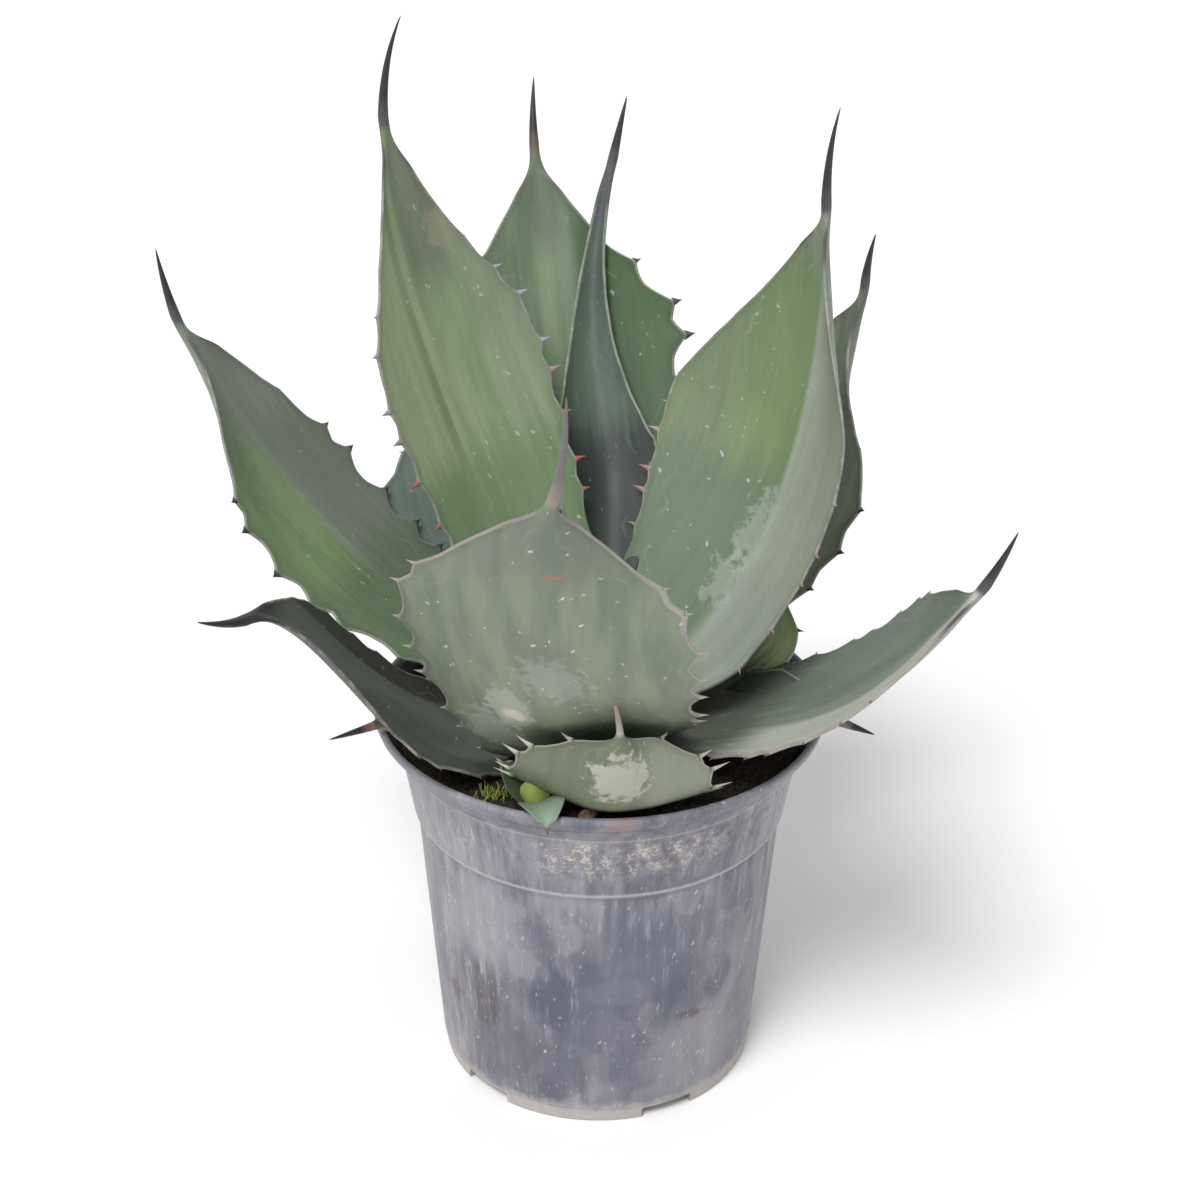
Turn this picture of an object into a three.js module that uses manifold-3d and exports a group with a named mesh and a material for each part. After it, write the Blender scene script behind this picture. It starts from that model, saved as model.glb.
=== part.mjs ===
// A potted agave: a broad-leaved rosette with toothed margins and terminal spines, its short stem
// rooted in the soil of a round plastic nursery pot, with one small offset and a pebble at the rim.
// Millimetres, +Z up. The origin is the centre of the pot's foot, on the surface that it stands on.
// Azimuths are in degrees: 0 is +X (right), 90 is +Y (back), 270 is -Y (front).

import * as THREE from 'three';
import { mergeVertices } from 'three/addons/utils/BufferGeometryUtils.js';
import Module from 'manifold-3d';

const wasm = await Module();
wasm.setup();

// ---------- driving dimensions ----------

const GAP = 0.3; // clearance between touching pieces

const POT = {
  height: 184,
  rimRadius: 102.5, // outer edge of the lip
  lipInner: 99.7,
  lipFoot: { radius: 91.3, up: 165.7 }, // where the flared lip meets the collar
  flare: { out: 2.6, outside: 3.4, up: 4.6 }, // the curve from the collar into the lip
  collarFoot: { radius: 85.6, up: 133.8 }, // lower end of the smooth collar
  step: 1.7, // inward step under the collar
  baseRadius: 74.1,
  baseUp: 8.2, // height at which the body ends and the feet begin
  wall: 2.1,
  floorUnder: 6,
  floorTop: 8.6,
  feet: 5,
  notchAngle: 20, // width of the drain gap between two feet
  notchUp: 5.7, // and its height
  firstNotch: 297, // azimuth of one drain gap
  footWidth: 7,
  drainRadius: 6,
  drainAt: 56,
  padRadius: 17, // flat pad at the middle of the underside
  padSlope: 1.5,
  footSlope: 0.8, // slopes and small bevels of the feet and of the lip
  footEdge: 2,
  footInset: 1,
  lipEdge: { side: 0.8, band: 4, top: 1.2, over: 0.9 },
  drainSides: 14,
  sides: 36,
};

const SOIL = { top: 177.6, lump: 1.2, edge: 1.3, bevel: 1.5, hole: 22, holeFoot: 142, sides: 20,
  rings: 3, waves: [7.3, 8.9, 11.7] };

const STEM = {
  // radius at each height, from the root end to the growing tip
  profile: [[143, 0], [143, 15], [150, 21.7], [172, 21.7], [178, 28], [186, 26.5], [192, 24],
    [199, 21.5], [205, 18], [211, 10], [219, 5], [222, 0]],
  sides: 12,
};

const BLADE = {
  columns: 4, // panels across one face
  ribThick: 8.5, // thickest, at the foot of the midrib
  midThick: 4.2,
  tipThick: 2.6,
  edgeFoot: 3.4, // thickness of the margin at the foot
  edge: 1.3, // thickness of the margin elsewhere
  thinnest: 0.7,
  neck: 2.6, // half width where the spine begins
  rise: 1.15, // how the blade widens from its foot
  clasp: 0.16, // share of the length over which the foot wraps the stem
  claspTurn: 1.35, // the most that it wraps, in radians
  claspLeast: 4, // smallest radius that it wraps
  bend: 0.35, // how quickly the fold turns away from the midrib
  swell: 1.6, // how the thickness falls from the midrib to the margin
};

const TOOTH = {
  height: 6.6,
  half: 3.6, // half of its width at the root
  mound: 1.5, // the fleshy rise under it
  valley: -0.9, // the hollow between two mounds
  first: 0.12, // share of the length where the teeth begin and end
  last: 0.8,
  hook: 1.8, // how far the tips lean down the leaf near its foot, and up near its neck
  drift: 0.16, // uneven spacing, as a share of the pitch
  crowd: 0.3, // the root is never wider than this share of the pitch, each way
  hollow: 0.45, // how far before a tip its valley lies, as a share of the pitch
  least: 0.75, // a tooth at either end of the row, as a share of the full height
  more: 0.35, // and how much taller the middle ones are
  full: 110, // a shorter leaf carries smaller teeth
};

const SPINE = { steps: 3, tip: 0.35, taper: 0.8, flat: 0.06 };

// Where a leaf's rows of points lie, as shares of its length, apart from those at its teeth.
const ROWS = { foot: 0.05, plain: 6, end: 0.98, tip: [0.87, 0.95], midrib: 36, fold: 6, edgeFoot: 0.3 };

// Each leaf by its place on the stem (side in degrees, out and up in mm), its length and greatest
// width, and its heading, pitch, roll and fold at the foot, the middle and the neck, in degrees.
// widest is where along the blade it is broadest and foot is the foot's share of that width. taper
// shapes the shoulder above it and draw the drawn-out tip. The spine's length goes with how far it
// turns and lifts. bite scales the teeth and plump the thickness. Inner leaves come first.
const LEAVES = [
  { name: 'leaf_tall_left', side: 150, out: 22, up: 205, length: 250, width: 88,
    heading: [140, 147, 148], pitch: [65, 65, 86], roll: [-19, -14], fold: [18, 20, 32],
    widest: 0.58, foot: 0.56, taper: 1.31, draw: 1.58, spine: [48, 4, 25], teeth: 9 },
  { name: 'leaf_tall_right', side: 10, out: 22, up: 192, length: 239, width: 130,
    heading: [6, 47, 62], pitch: [45, 65, 101], roll: [26, -45], fold: [24, 32, 33],
    widest: 0.57, foot: 0.6, taper: 1.54, draw: 1.68, spine: [42, -9, -32], teeth: 9 },
  { name: 'leaf_centre_spear', side: 90, out: 14, up: 208, length: 227, width: 66,
    heading: [83, 96, 50], pitch: [48, 54, 72], roll: [13, 14], fold: [26, 41, 25],
    widest: 0.38, foot: 0.2, taper: 0.9, draw: 2.03, spine: [29, -2, -1], teeth: 7, bite: 0.7 },
  { name: 'leaf_back_centre', side: 96, out: 18, up: 193, length: 247, width: 116,
    heading: [101, 104, 101], pitch: [43, 57, 63], roll: [-6, -5], fold: [17, 17, 26],
    widest: 0.63, foot: 0.3, taper: 1.41, draw: 1.77, spine: [32, -14, 2], teeth: 8 },
  { name: 'leaf_upper_left', side: 166, out: 24, up: 190, length: 246, width: 90,
    heading: [167, 155, 179], pitch: [15, 39, 73], roll: [-2, 3], fold: [22, 4, 45],
    widest: 0.58, foot: 0.52, taper: 1.9, draw: 1.45, spine: [32, 1, 8], teeth: 8, bite: 0.9 },
  { name: 'leaf_mid_left', side: 134, out: 24, up: 184, length: 196, width: 94,
    heading: [130, 108, 100], pitch: [13, 30, 41], roll: [0, 0], fold: [22, 21, 35],
    widest: 0.55, foot: 0.52, taper: 1.54, draw: 1.9, spine: [27, -1, -5], teeth: 5 },
  { name: 'leaf_right_back', side: 55, out: 24, up: 187, length: 229, width: 130,
    heading: [48, 47, 28], pitch: [26, 37, 89], roll: [4, -15], fold: [20, 18, 54],
    widest: 0.55, foot: 0.53, taper: 1.59, draw: 1.74, spine: [24, -3, -14], teeth: 6 },
  { name: 'leaf_front_shield', side: 264, out: 25, up: 176, length: 259, width: 117,
    heading: [272, 256, 301], pitch: [26, 55, 62], roll: [17, -15], fold: [4, 8, 22],
    widest: 0.62, foot: 0.6, taper: 1.87, draw: 1.79, spine: [43, -6, 24], teeth: 8 },
  { name: 'leaf_low_right_back', side: 38, out: 27, up: 179, length: 95, width: 93,
    heading: [38, 47, 63], pitch: [16, 21, 13], roll: [2, 9], fold: [22, 10, 36],
    widest: 0.53, foot: 0.52, taper: 1.57, draw: 1.66, spine: [35, 26, -7], teeth: 4 },
  { name: 'leaf_lower_right', side: 340, out: 27, up: 181, length: 191, width: 104,
    heading: [328, 328, 342], pitch: [13, 35, 62], roll: [2, 9], fold: [14, 6, 18],
    widest: 0.61, foot: 0.53, taper: 1.88, draw: 1.5, spine: [29, -3, 7], teeth: 8, bite: 0.7 },
  { name: 'leaf_lower_left', side: 210, out: 27, up: 175, length: 228, width: 71,
    heading: [212, 229, 259], pitch: [-1, 49, 19], roll: [-12, -44], fold: [24, 4, 30],
    widest: 0.52, foot: 0.56, taper: 1.62, draw: 2.23, spine: [44, -10, 10], teeth: 7, bite: 0.6 },
  { name: 'leaf_front_small', side: 275, out: 33, up: 173, length: 123, width: 89,
    heading: [270, 275, 296], pitch: [-5, 33, 103], roll: [1, -16], fold: [20, 20, 62],
    widest: 0.59, foot: 0.52, taper: 2.07, draw: 1.09, spine: [19, 17, 13], teeth: 5, plump: 0.6 },
  { name: 'leaf_low_left', side: 200, out: 28, up: 167, length: 85, width: 42,
    heading: [200, 201, 204], pitch: [18, 23, -8], roll: [0, -39], fold: [22, 21, 24],
    widest: 0.55, foot: 0.52, taper: 1.71, draw: 1.58, spine: [20, 8, -8], teeth: 3, bite: 0.6, plump: 0.8 },
  { name: 'leaf_low_right', side: 338, out: 28, up: 170, length: 93, width: 49,
    heading: [336, 342, 352], pitch: [12, 24, -18], roll: [0, 34], fold: [22, 21, 24],
    widest: 0.55, foot: 0.52, taper: 1.75, draw: 1.46, spine: [13, -7, -8], teeth: 3, bite: 0.6, plump: 0.8 },
  { name: 'leaf_low_back', side: 93, out: 27, up: 176, length: 136, width: 70,
    heading: [93, 90, 88], pitch: [8, 22, 36], roll: [0, -4], fold: [22, 18, 40],
    widest: 0.55, foot: 0.5, taper: 1.6, draw: 1.7, spine: [22, -4, 8], teeth: 4 },
  { name: 'leaf_low_back_left', side: 148, out: 27, up: 175, length: 122, width: 58,
    heading: [148, 147, 145], pitch: [8, 24, 34], roll: [0, 6], fold: [22, 18, 40],
    widest: 0.55, foot: 0.5, taper: 1.6, draw: 1.7, spine: [22, 4, 10], teeth: 3 },
];

// The offset: a few small toothless leaves on a short stub that stands in a hole in the soil.
const PUP = {
  at: [-26.8, -80.5, 178.8],
  stub: { radius: 4.6, head: 3.2, foot: 169, top: 181.5, sides: 8 },
  common: { taper: 1.8, draw: 1.3, spine: [4, 0, 0], teeth: 0, plump: 0.34 }, // what its leaves share
  leaves: [
    { side: 155, out: 1.5, up: -1, length: 23, width: 14, heading: [155, 158, 160],
      pitch: [56, 50, 44], roll: [-20, -30], fold: [10, 16, 30], widest: 0.5, foot: 0.6 },
    { side: 262, out: 3, up: 1, length: 14, width: 13, heading: [262, 262, 262],
      pitch: [70, 84, 96], roll: [0, 0], fold: [12, 24, 40], widest: 0.5, foot: 0.6 },
    { side: 284, out: 2, up: -1, length: 29, width: 20, heading: [284, 282, 280],
      pitch: [56, 18, -68], roll: [10, 4], fold: [12, 16, 26], widest: 0.52, foot: 0.5 },
    { side: 330, out: 1.5, up: -1, length: 15, width: 10, heading: [330, 328, 325],
      pitch: [50, 40, 34], roll: [0, 0], fold: [14, 20, 36], widest: 0.5, foot: 0.6 },
  ],
};

const PEBBLE = { radius: 4, stretch: 1.12, squash: 0.78, turn: 0.5, knobs: [0.06, 0.05],
  at: [-4.6, -90.4, 179.4] };

const COLOUR = {
  pot: { color: 0x3d3f45, roughness: 0.75, metalness: 0 },
  soil: { color: 0x1d1915, roughness: 1, metalness: 0 },
  stem: { color: 0x8a8f6e, roughness: 0.8, metalness: 0 },
  leaf: { color: 0x6f8368, roughness: 0.6, metalness: 0 },
  pup: { color: 0x8da06a, roughness: 0.55, metalness: 0 },
  pebble: { color: 0x8a5a44, roughness: 0.85, metalness: 0 },
};

// ---------- helpers ----------

const rad = (degrees) => THREE.MathUtils.degToRad(degrees);

// A curve through three values at 0, 0.5 and 1.
const through = ([a, b, c], t) =>
  a * (1 - t) * (1 - 2 * t) + 4 * b * t * (1 - t) + c * t * (2 * t - 1);

const mix = (a, b, t) => a + (b - a) * t;

// A closed geometry as a manifold-3d solid, for a join or a cut.
function solid(geometry) {
  const bare = geometry.clone();
  bare.deleteAttribute('normal');
  bare.deleteAttribute('uv');
  const merged = mergeVertices(bare, 1e-4);
  return new wasm.Manifold(new wasm.Mesh({
    numProp: 3,
    vertProperties: new Float32Array(merged.attributes.position.array),
    triVerts: new Uint32Array(merged.index.array),
  }));
}

// The largest body of a manifold-3d solid, back as a geometry.
function geometryOf(manifold) {
  const bodies = manifold.decompose().sort((a, b) => b.volume() - a.volume());
  const mesh = bodies[0].getMesh();
  const geometry = new THREE.BufferGeometry();
  geometry.setAttribute('position', new THREE.Float32BufferAttribute(mesh.vertProperties, 3));
  geometry.setIndex(new THREE.BufferAttribute(mesh.triVerts, 1));
  geometry.computeVertexNormals();
  return geometry;
}

// A lathe about +Z from [radius, height] points.
function lathe(points, sides) {
  const geometry = new THREE.LatheGeometry(points.map(([r, z]) => new THREE.Vector2(r, z)), sides);
  return geometry.rotateX(Math.PI / 2);
}

function mesh(name, geometry, look) {
  const part = new THREE.Mesh(geometry, new THREE.MeshStandardMaterial(look));
  part.name = name;
  return part;
}

// ---------- leaves ----------

const horizontal = (heading) => new THREE.Vector3(Math.cos(heading), Math.sin(heading), 0);

function tangent(heading, pitch) {
  return horizontal(heading).multiplyScalar(Math.cos(pitch)).setZ(Math.sin(pitch));
}

// The midrib as evenly spaced points with a frame at each: along, side (to the left) and face.
function midrib(leaf, centre) {
  const steps = ROWS.midrib;
  const at = (t) => ({
    heading: rad(through(leaf.heading, t)),
    pitch: rad(through(leaf.pitch, t)),
    roll: rad(mix(leaf.roll[0], leaf.roll[1], t)),
  });
  const points = [horizontal(rad(leaf.side)).multiplyScalar(leaf.out).setZ(leaf.up).add(centre)];
  for (let i = 0; i < steps; i += 1) {
    const { heading, pitch } = at((i + 0.5) / steps);
    points.push(points[i].clone().addScaledVector(tangent(heading, pitch), leaf.length / steps));
  }
  return (t) => {
    const place = Math.min(Math.max(t, 0), 1) * steps;
    const low = Math.min(Math.floor(place), steps - 1);
    const { heading, pitch, roll } = at(t);
    const along = tangent(heading, pitch);
    const level = new THREE.Vector3(-Math.sin(heading), Math.cos(heading), 0);
    const up = along.clone().cross(level);
    const side = level.clone().multiplyScalar(Math.cos(roll)).addScaledVector(up, Math.sin(roll));
    const face = up.multiplyScalar(Math.cos(roll)).addScaledVector(level, -Math.sin(roll));
    return { point: points[low].clone().lerp(points[low + 1], place - low), along, side, face,
      heading, pitch };
  };
}

// Half width of the blade at t, from its clasping foot over the widest part to the neck.
function halfWidth(leaf, t) {
  const full = leaf.width / 2;
  if (t < leaf.widest) {
    const share = Math.sin((Math.max(t, 0) / leaf.widest) * Math.PI / 2) ** BLADE.rise;
    return full * mix(leaf.foot, 1, share);
  }
  const y = Math.min((t - leaf.widest) / (1 - leaf.widest), 1);
  return mix(BLADE.neck, full, (1 - y ** leaf.taper) ** leaf.draw);
}

// The folded cross-section: how far out and up the point at u (0 midrib, 1 margin) lies.
function foldedAt(fold, u) {
  const steps = ROWS.fold;
  const turn = (v) => (fold * Math.tanh(v / BLADE.bend)) / Math.tanh(1 / BLADE.bend);
  let x = 0;
  let y = 0;
  for (let i = 0; i < steps; i += 1) {
    const angle = turn((u * (i + 0.5)) / steps);
    x += (Math.cos(angle) * u) / steps;
    y += (Math.sin(angle) * u) / steps;
  }
  return { x, y, angle: turn(u) };
}

// Rows along the blade: a valley, a mound, a tooth and a mound for every tooth.
function bladeRows(leaf) {
  const rows = [{ t: 0, edge: 0 }, { t: ROWS.foot, edge: 0 }];
  if (!leaf.teeth) {
    for (let i = 1; i < ROWS.plain; i += 1) {
      rows.push({ t: mix(ROWS.foot, ROWS.end, i / ROWS.plain), edge: 0 });
    }
    return rows;
  }
  const pitch = (TOOTH.last - TOOTH.first) / leaf.teeth;
  const half = Math.min(TOOTH.half / leaf.length, pitch * TOOTH.crowd);
  for (let k = 0; k < leaf.teeth; k += 1) {
    const centre = TOOTH.first + (k + 0.5 + TOOTH.drift * Math.sin(2.4 * k + leaf.side)) * pitch;
    const grown = (leaf.bite ?? 1) * Math.min(1, leaf.length / TOOTH.full)
      * (TOOTH.least + TOOTH.more * Math.sin(((k + 0.5) / leaf.teeth) * Math.PI));
    rows.push({ t: centre - pitch * TOOTH.hollow, edge: TOOTH.valley });
    rows.push({ t: centre - half, edge: TOOTH.mound * grown });
    rows.push({ t: centre, edge: TOOTH.height * grown, hook: mix(-TOOTH.hook, TOOTH.hook, centre) });
    rows.push({ t: centre + half, edge: TOOTH.mound * grown });
  }
  ROWS.tip.forEach((t) => rows.push({ t, edge: 0 }));
  return rows;
}

// One row of section points: the upper face from the left margin to the right, then the lower one.
function bladeRing(leaf, frameAt, row, grow) {
  const { point, along, side, face, heading } = frameAt(row.t);
  const half = halfWidth(leaf, row.t);
  const fold = rad(through(leaf.fold, row.t));
  const rib = row.t < 0.5 ? mix(BLADE.ribThick, BLADE.midThick, row.t * 2)
    : mix(BLADE.midThick, BLADE.tipThick, row.t * 2 - 1);
  const clasp = Math.max(0, 1 - row.t / BLADE.clasp) ** 2;
  const scale = leaf.plump ?? 1;
  const upper = [];
  const lower = [];
  for (let i = 0; i <= BLADE.columns; i += 1) {
    const u = 1 - (2 * i) / BLADE.columns;
    const hand = Math.sign(u);
    const out = foldedAt(fold, Math.abs(u));
    const rim = Math.abs(u) === 1;
    const reach = out.x * half + (rim ? (row.edge + grow) * Math.cos(out.angle) : 0);
    const lift = out.y * half + (rim ? (row.edge + grow) * Math.sin(out.angle) : 0);
    const normal = face.clone().multiplyScalar(Math.cos(out.angle))
      .addScaledVector(side, -hand * Math.sin(out.angle));
    const place = point.clone();
    const wrap = Math.min(reach / Math.max(leaf.out, BLADE.claspLeast), BLADE.claspTurn);
    place.addScaledVector(side, hand * mix(reach, leaf.out * Math.sin(wrap), clasp));
    place.addScaledVector(horizontal(heading), clasp * leaf.out * (Math.cos(wrap) - 1));
    place.addScaledVector(face, lift);
    if (rim && row.hook) place.addScaledVector(along, row.hook);
    if (row.t === 0) place.addScaledVector(along, -grow);
    const edge = row.hook && rim ? BLADE.thinnest
      : mix(BLADE.edge, BLADE.edgeFoot, Math.max(0, 1 - row.t / ROWS.edgeFoot));
    const thick = (edge + (rib - edge) * (1 - Math.abs(u) ** BLADE.swell)) * scale;
    upper.push(place.clone().addScaledVector(normal, grow));
    lower.push(place.addScaledVector(normal, -Math.max(thick, BLADE.thinnest) - grow));
  }
  return [...upper, ...lower.reverse()];
}

// Rings of the terminal spine, round, from the neck of the blade almost to the point.
function spineRings(leaf, frameAt, grow) {
  const [length, turn, lift] = leaf.spine;
  const neck = frameAt(1);
  const thick = BLADE.neck * (leaf.plump ?? 1);
  const rings = [];
  const place = neck.point.clone().addScaledVector(neck.face, -thick);
  const count = BLADE.columns + 1;
  for (let k = 0; k <= SPINE.steps; k += 1) {
    const t = k / SPINE.steps;
    const heading = neck.heading + rad(turn) * t;
    const pitch = neck.pitch + rad(lift) * t;
    const along = tangent(heading, pitch);
    if (k > 0) place.addScaledVector(along, length / SPINE.steps);
    const radius = k === SPINE.steps ? 0 : thick * (1 - t) ** SPINE.taper + SPINE.tip + grow;
    if (k === SPINE.steps) return { rings, tip: place.addScaledVector(along, grow) };
    const ring = [];
    for (let i = 0; i < 2 * count; i += 1) {
      const upper = i < count;
      const share = upper ? i / BLADE.columns : (i - count) / BLADE.columns;
      const turned = mix(SPINE.flat, 1 - SPINE.flat, share);
      const angle = Math.PI * (upper ? turned : turned + 1);
      ring.push(place.clone().addScaledVector(neck.side, Math.cos(angle) * radius)
        .addScaledVector(neck.face, Math.sin(angle) * radius));
    }
    rings.push(ring);
  }
  return { rings, tip: place };
}

// A leaf as one closed mesh: foot, toothed blade and terminal spine. grow swells it on all sides.
function leafGeometry(leaf, grow = 0, centre = new THREE.Vector3()) {
  const frameAt = midrib(leaf, centre);
  const spine = spineRings(leaf, frameAt, grow);
  const rings = [...bladeRows(leaf).map((row) => bladeRing(leaf, frameAt, row, grow)), ...spine.rings];
  const around = rings[0].length;
  const columns = BLADE.columns;
  const index = [];
  const id = (row, i) => row * around + (i % around);
  for (let row = 0; row + 1 < rings.length; row += 1) {
    for (let i = 0; i < around; i += 1) {
      const [a, b, c, d] = [id(row, i), id(row, i + 1), id(row + 1, i + 1), id(row + 1, i)];
      const leftHalf = i < columns / 2 || i > around - 2 - columns / 2;
      const flip = i > columns ? !leftHalf : leftHalf;
      if (flip) index.push(a, b, d, b, c, d);
      else index.push(a, b, c, a, c, d);
    }
  }
  for (let i = 0; i < columns; i += 1) {
    const [a, b, c, d] = [id(0, i), id(0, i + 1), id(0, around - 2 - i), id(0, around - 1 - i)];
    index.push(a, c, b, a, d, c);
  }
  const points = rings.flat();
  points.push(spine.tip);
  for (let i = 0; i < around; i += 1) {
    index.push(id(rings.length - 1, i), id(rings.length - 1, i + 1), points.length - 1);
  }
  const geometry = new THREE.BufferGeometry().setFromPoints(points);
  geometry.setIndex(index);
  return geometry;
}

// ---------- pot ----------

function potGeometry() {
  const p = POT;
  const inner = (radius) => radius - p.wall;
  const shell = lathe([
    [0, 0], [p.padRadius, 0], [p.padRadius + p.padSlope, p.floorUnder],
    [p.baseRadius - p.footWidth, p.floorUnder], [p.baseRadius - p.footWidth + p.footSlope, 0],
    [p.baseRadius - p.footEdge, 0], [p.baseRadius - p.footInset - GAP, p.footInset],
    [p.baseRadius - p.footInset, p.baseUp - p.footSlope], [p.baseRadius, p.baseUp],
    [p.collarFoot.radius - p.step, p.collarFoot.up - p.step], [p.collarFoot.radius, p.collarFoot.up],
    [p.lipFoot.radius, p.lipFoot.up], [p.lipFoot.radius + p.flare.outside, p.lipFoot.up + p.flare.up],
    [p.rimRadius - p.lipEdge.side, p.height - p.lipEdge.band], [p.rimRadius, p.height - p.lipEdge.top],
    [p.rimRadius - p.lipEdge.over, p.height],
    [p.lipInner, p.height], [inner(p.lipFoot.radius + p.flare.out), p.lipFoot.up + p.flare.up],
    [inner(p.lipFoot.radius), p.lipFoot.up], [inner(p.collarFoot.radius - p.step), p.collarFoot.up],
    [inner(p.baseRadius), p.floorTop + 1], [inner(p.baseRadius) - 1, p.floorTop], [0, p.floorTop],
  ], p.sides);
  let pot = solid(shell);
  for (let k = 0; k < p.feet; k += 1) {
    const azimuth = rad(p.firstNotch + (k * 360) / p.feet);
    const width = 2 * p.baseRadius * Math.sin(rad(p.notchAngle / 2));
    const notch = new THREE.BoxGeometry(3 * p.footWidth, width, 2 * p.notchUp)
      .translate(p.baseRadius, 0, 0).rotateZ(azimuth);
    const drain = new THREE.CylinderGeometry(p.drainRadius, p.drainRadius, 3 * p.floorTop, p.drainSides)
      .rotateX(Math.PI / 2).translate(p.drainAt, 0, 0).rotateZ(azimuth);
    pot = pot.subtract(solid(notch)).subtract(solid(drain));
  }
  return geometryOf(pot);
}

// ---------- soil, stem, offset and pebble ----------

// Lumps of the potting mix: a few waves across the surface, by their lengths in mm.
function lumps(x, y) {
  const [across, back, slant] = SOIL.waves;
  return Math.sin(x / across) * Math.cos(y / back) + 0.6 * Math.sin((x + 2 * y) / slant);
}

// Radius of the pot's inner wall at a height.
function wallAt(up) {
  const { wall, flare, lipFoot, collarFoot } = POT;
  const inside = [[POT.floorTop, POT.baseRadius - wall],
    [collarFoot.up, collarFoot.radius - POT.step - wall], [lipFoot.up, lipFoot.radius - wall],
    [lipFoot.up + flare.up, lipFoot.radius + flare.out - wall], [POT.height, POT.lipInner]];
  const above = inside.findIndex(([z]) => z >= up);
  const [[z0, r0], [z1, r1]] = [inside[above - 1], inside[above]];
  return mix(r0, r1, (up - z0) / (z1 - z0));
}

function soilGeometry(cutters) {
  const bed = POT.floorTop + GAP;
  const heights = [bed + SOIL.bevel, POT.collarFoot.up, POT.lipFoot.up, POT.lipFoot.up + POT.flare.up];
  const side = heights.map((up) => [wallAt(up) - 2 * GAP, up]);
  const top = [];
  for (let k = SOIL.rings; k >= 0; k -= 1) {
    top.push([mix(SOIL.hole, wallAt(SOIL.top) - SOIL.edge, k / SOIL.rings), SOIL.top]);
  }
  const geometry = lathe([[0, bed], [wallAt(bed) - SOIL.bevel - 2 * GAP, bed], ...side, ...top,
    [SOIL.hole, SOIL.holeFoot], [0, SOIL.holeFoot]], SOIL.sides);
  const position = geometry.attributes.position;
  for (let i = 0; i < position.count; i += 1) {
    if (position.getZ(i) === SOIL.top) {
      position.setZ(i, SOIL.top + SOIL.lump * lumps(position.getX(i), position.getY(i)));
    }
  }
  return geometryOf(cutters.reduce((soil, cutter) => soil.subtract(cutter), solid(geometry)));
}

const stemGeometry = (grow) =>
  lathe(STEM.profile.map(([z, r]) => [r === 0 ? 0 : r + grow, z]), STEM.sides);

// The offset's leaves and stub, fused into one piece.
function pupSolid(grow) {
  const { stub } = PUP;
  const centre = new THREE.Vector3(...PUP.at);
  const stem = lathe([[0, stub.foot - grow], [stub.radius - 1.5 + grow, stub.foot - grow],
    [stub.radius + grow, stub.foot + 3], [stub.radius + grow, stub.top - 3],
    [stub.head + grow, stub.top + grow], [0, stub.top + grow]], stub.sides)
    .translate(centre.x, centre.y, 0);
  const blades = PUP.leaves.map((leaf) => leafGeometry({ ...leaf, ...PUP.common }, grow, centre));
  return blades.reduce((pup, blade) => pup.add(solid(blade)), solid(stem));
}

// A rounded pebble, slightly flattened and knobbly.
function pebbleGeometry(grow) {
  const geometry = new THREE.SphereGeometry(1, 8, 6);
  const position = geometry.attributes.position;
  const point = new THREE.Vector3();
  for (let i = 0; i < position.count; i += 1) {
    point.fromBufferAttribute(position, i);
    const knob = 1 + PEBBLE.knobs[0] * Math.sin(3 * point.x + 2 * point.z)
      + PEBBLE.knobs[1] * Math.cos(4 * point.y);
    point.multiplyScalar(PEBBLE.radius * knob + grow);
    position.setXYZ(i, point.x * PEBBLE.stretch, point.y * PEBBLE.squash, point.z * PEBBLE.squash);
  }
  return geometry.rotateX(Math.PI / 2).rotateZ(PEBBLE.turn).translate(...PEBBLE.at);
}

const group = new THREE.Group();
const stem = stemGeometry(0);
group.add(mesh('pot', potGeometry(), COLOUR.pot));
group.add(mesh('stem', stem, COLOUR.stem));

let taken = solid(stemGeometry(GAP));
const grownLeaves = [];
for (const leaf of LEAVES) {
  let body = solid(leafGeometry(leaf));
  body = body.subtract(taken);
  for (const grown of grownLeaves) body = body.subtract(grown);
  grownLeaves.push(solid(leafGeometry(leaf, GAP)));
  group.add(mesh(leaf.name, geometryOf(body), COLOUR.leaf));
}
let pup = pupSolid(0);
for (const grown of grownLeaves) pup = pup.subtract(grown);
group.add(mesh('pup', geometryOf(pup), COLOUR.pup));
group.add(mesh('pebble', pebbleGeometry(0), COLOUR.pebble));
const buried = [solid(stemGeometry(GAP)), ...grownLeaves, pupSolid(GAP), solid(pebbleGeometry(GAP))];
group.add(mesh('soil', soilGeometry(buried), COLOUR.soil));

export default group;
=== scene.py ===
"""A potted agave: a toothed, spine-tipped rosette in a weathered nursery pot. Metres, +Z up.

Shapes are worked out in millimetres, as on the CAD side, and scaled down once at the end of each piece.
"""

import logging
import math
import random
from dataclasses import dataclass, field
from enum import Enum
from typing import Callable, Sequence

import bmesh
import bpy
from mathutils import Matrix, Vector, noise


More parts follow.
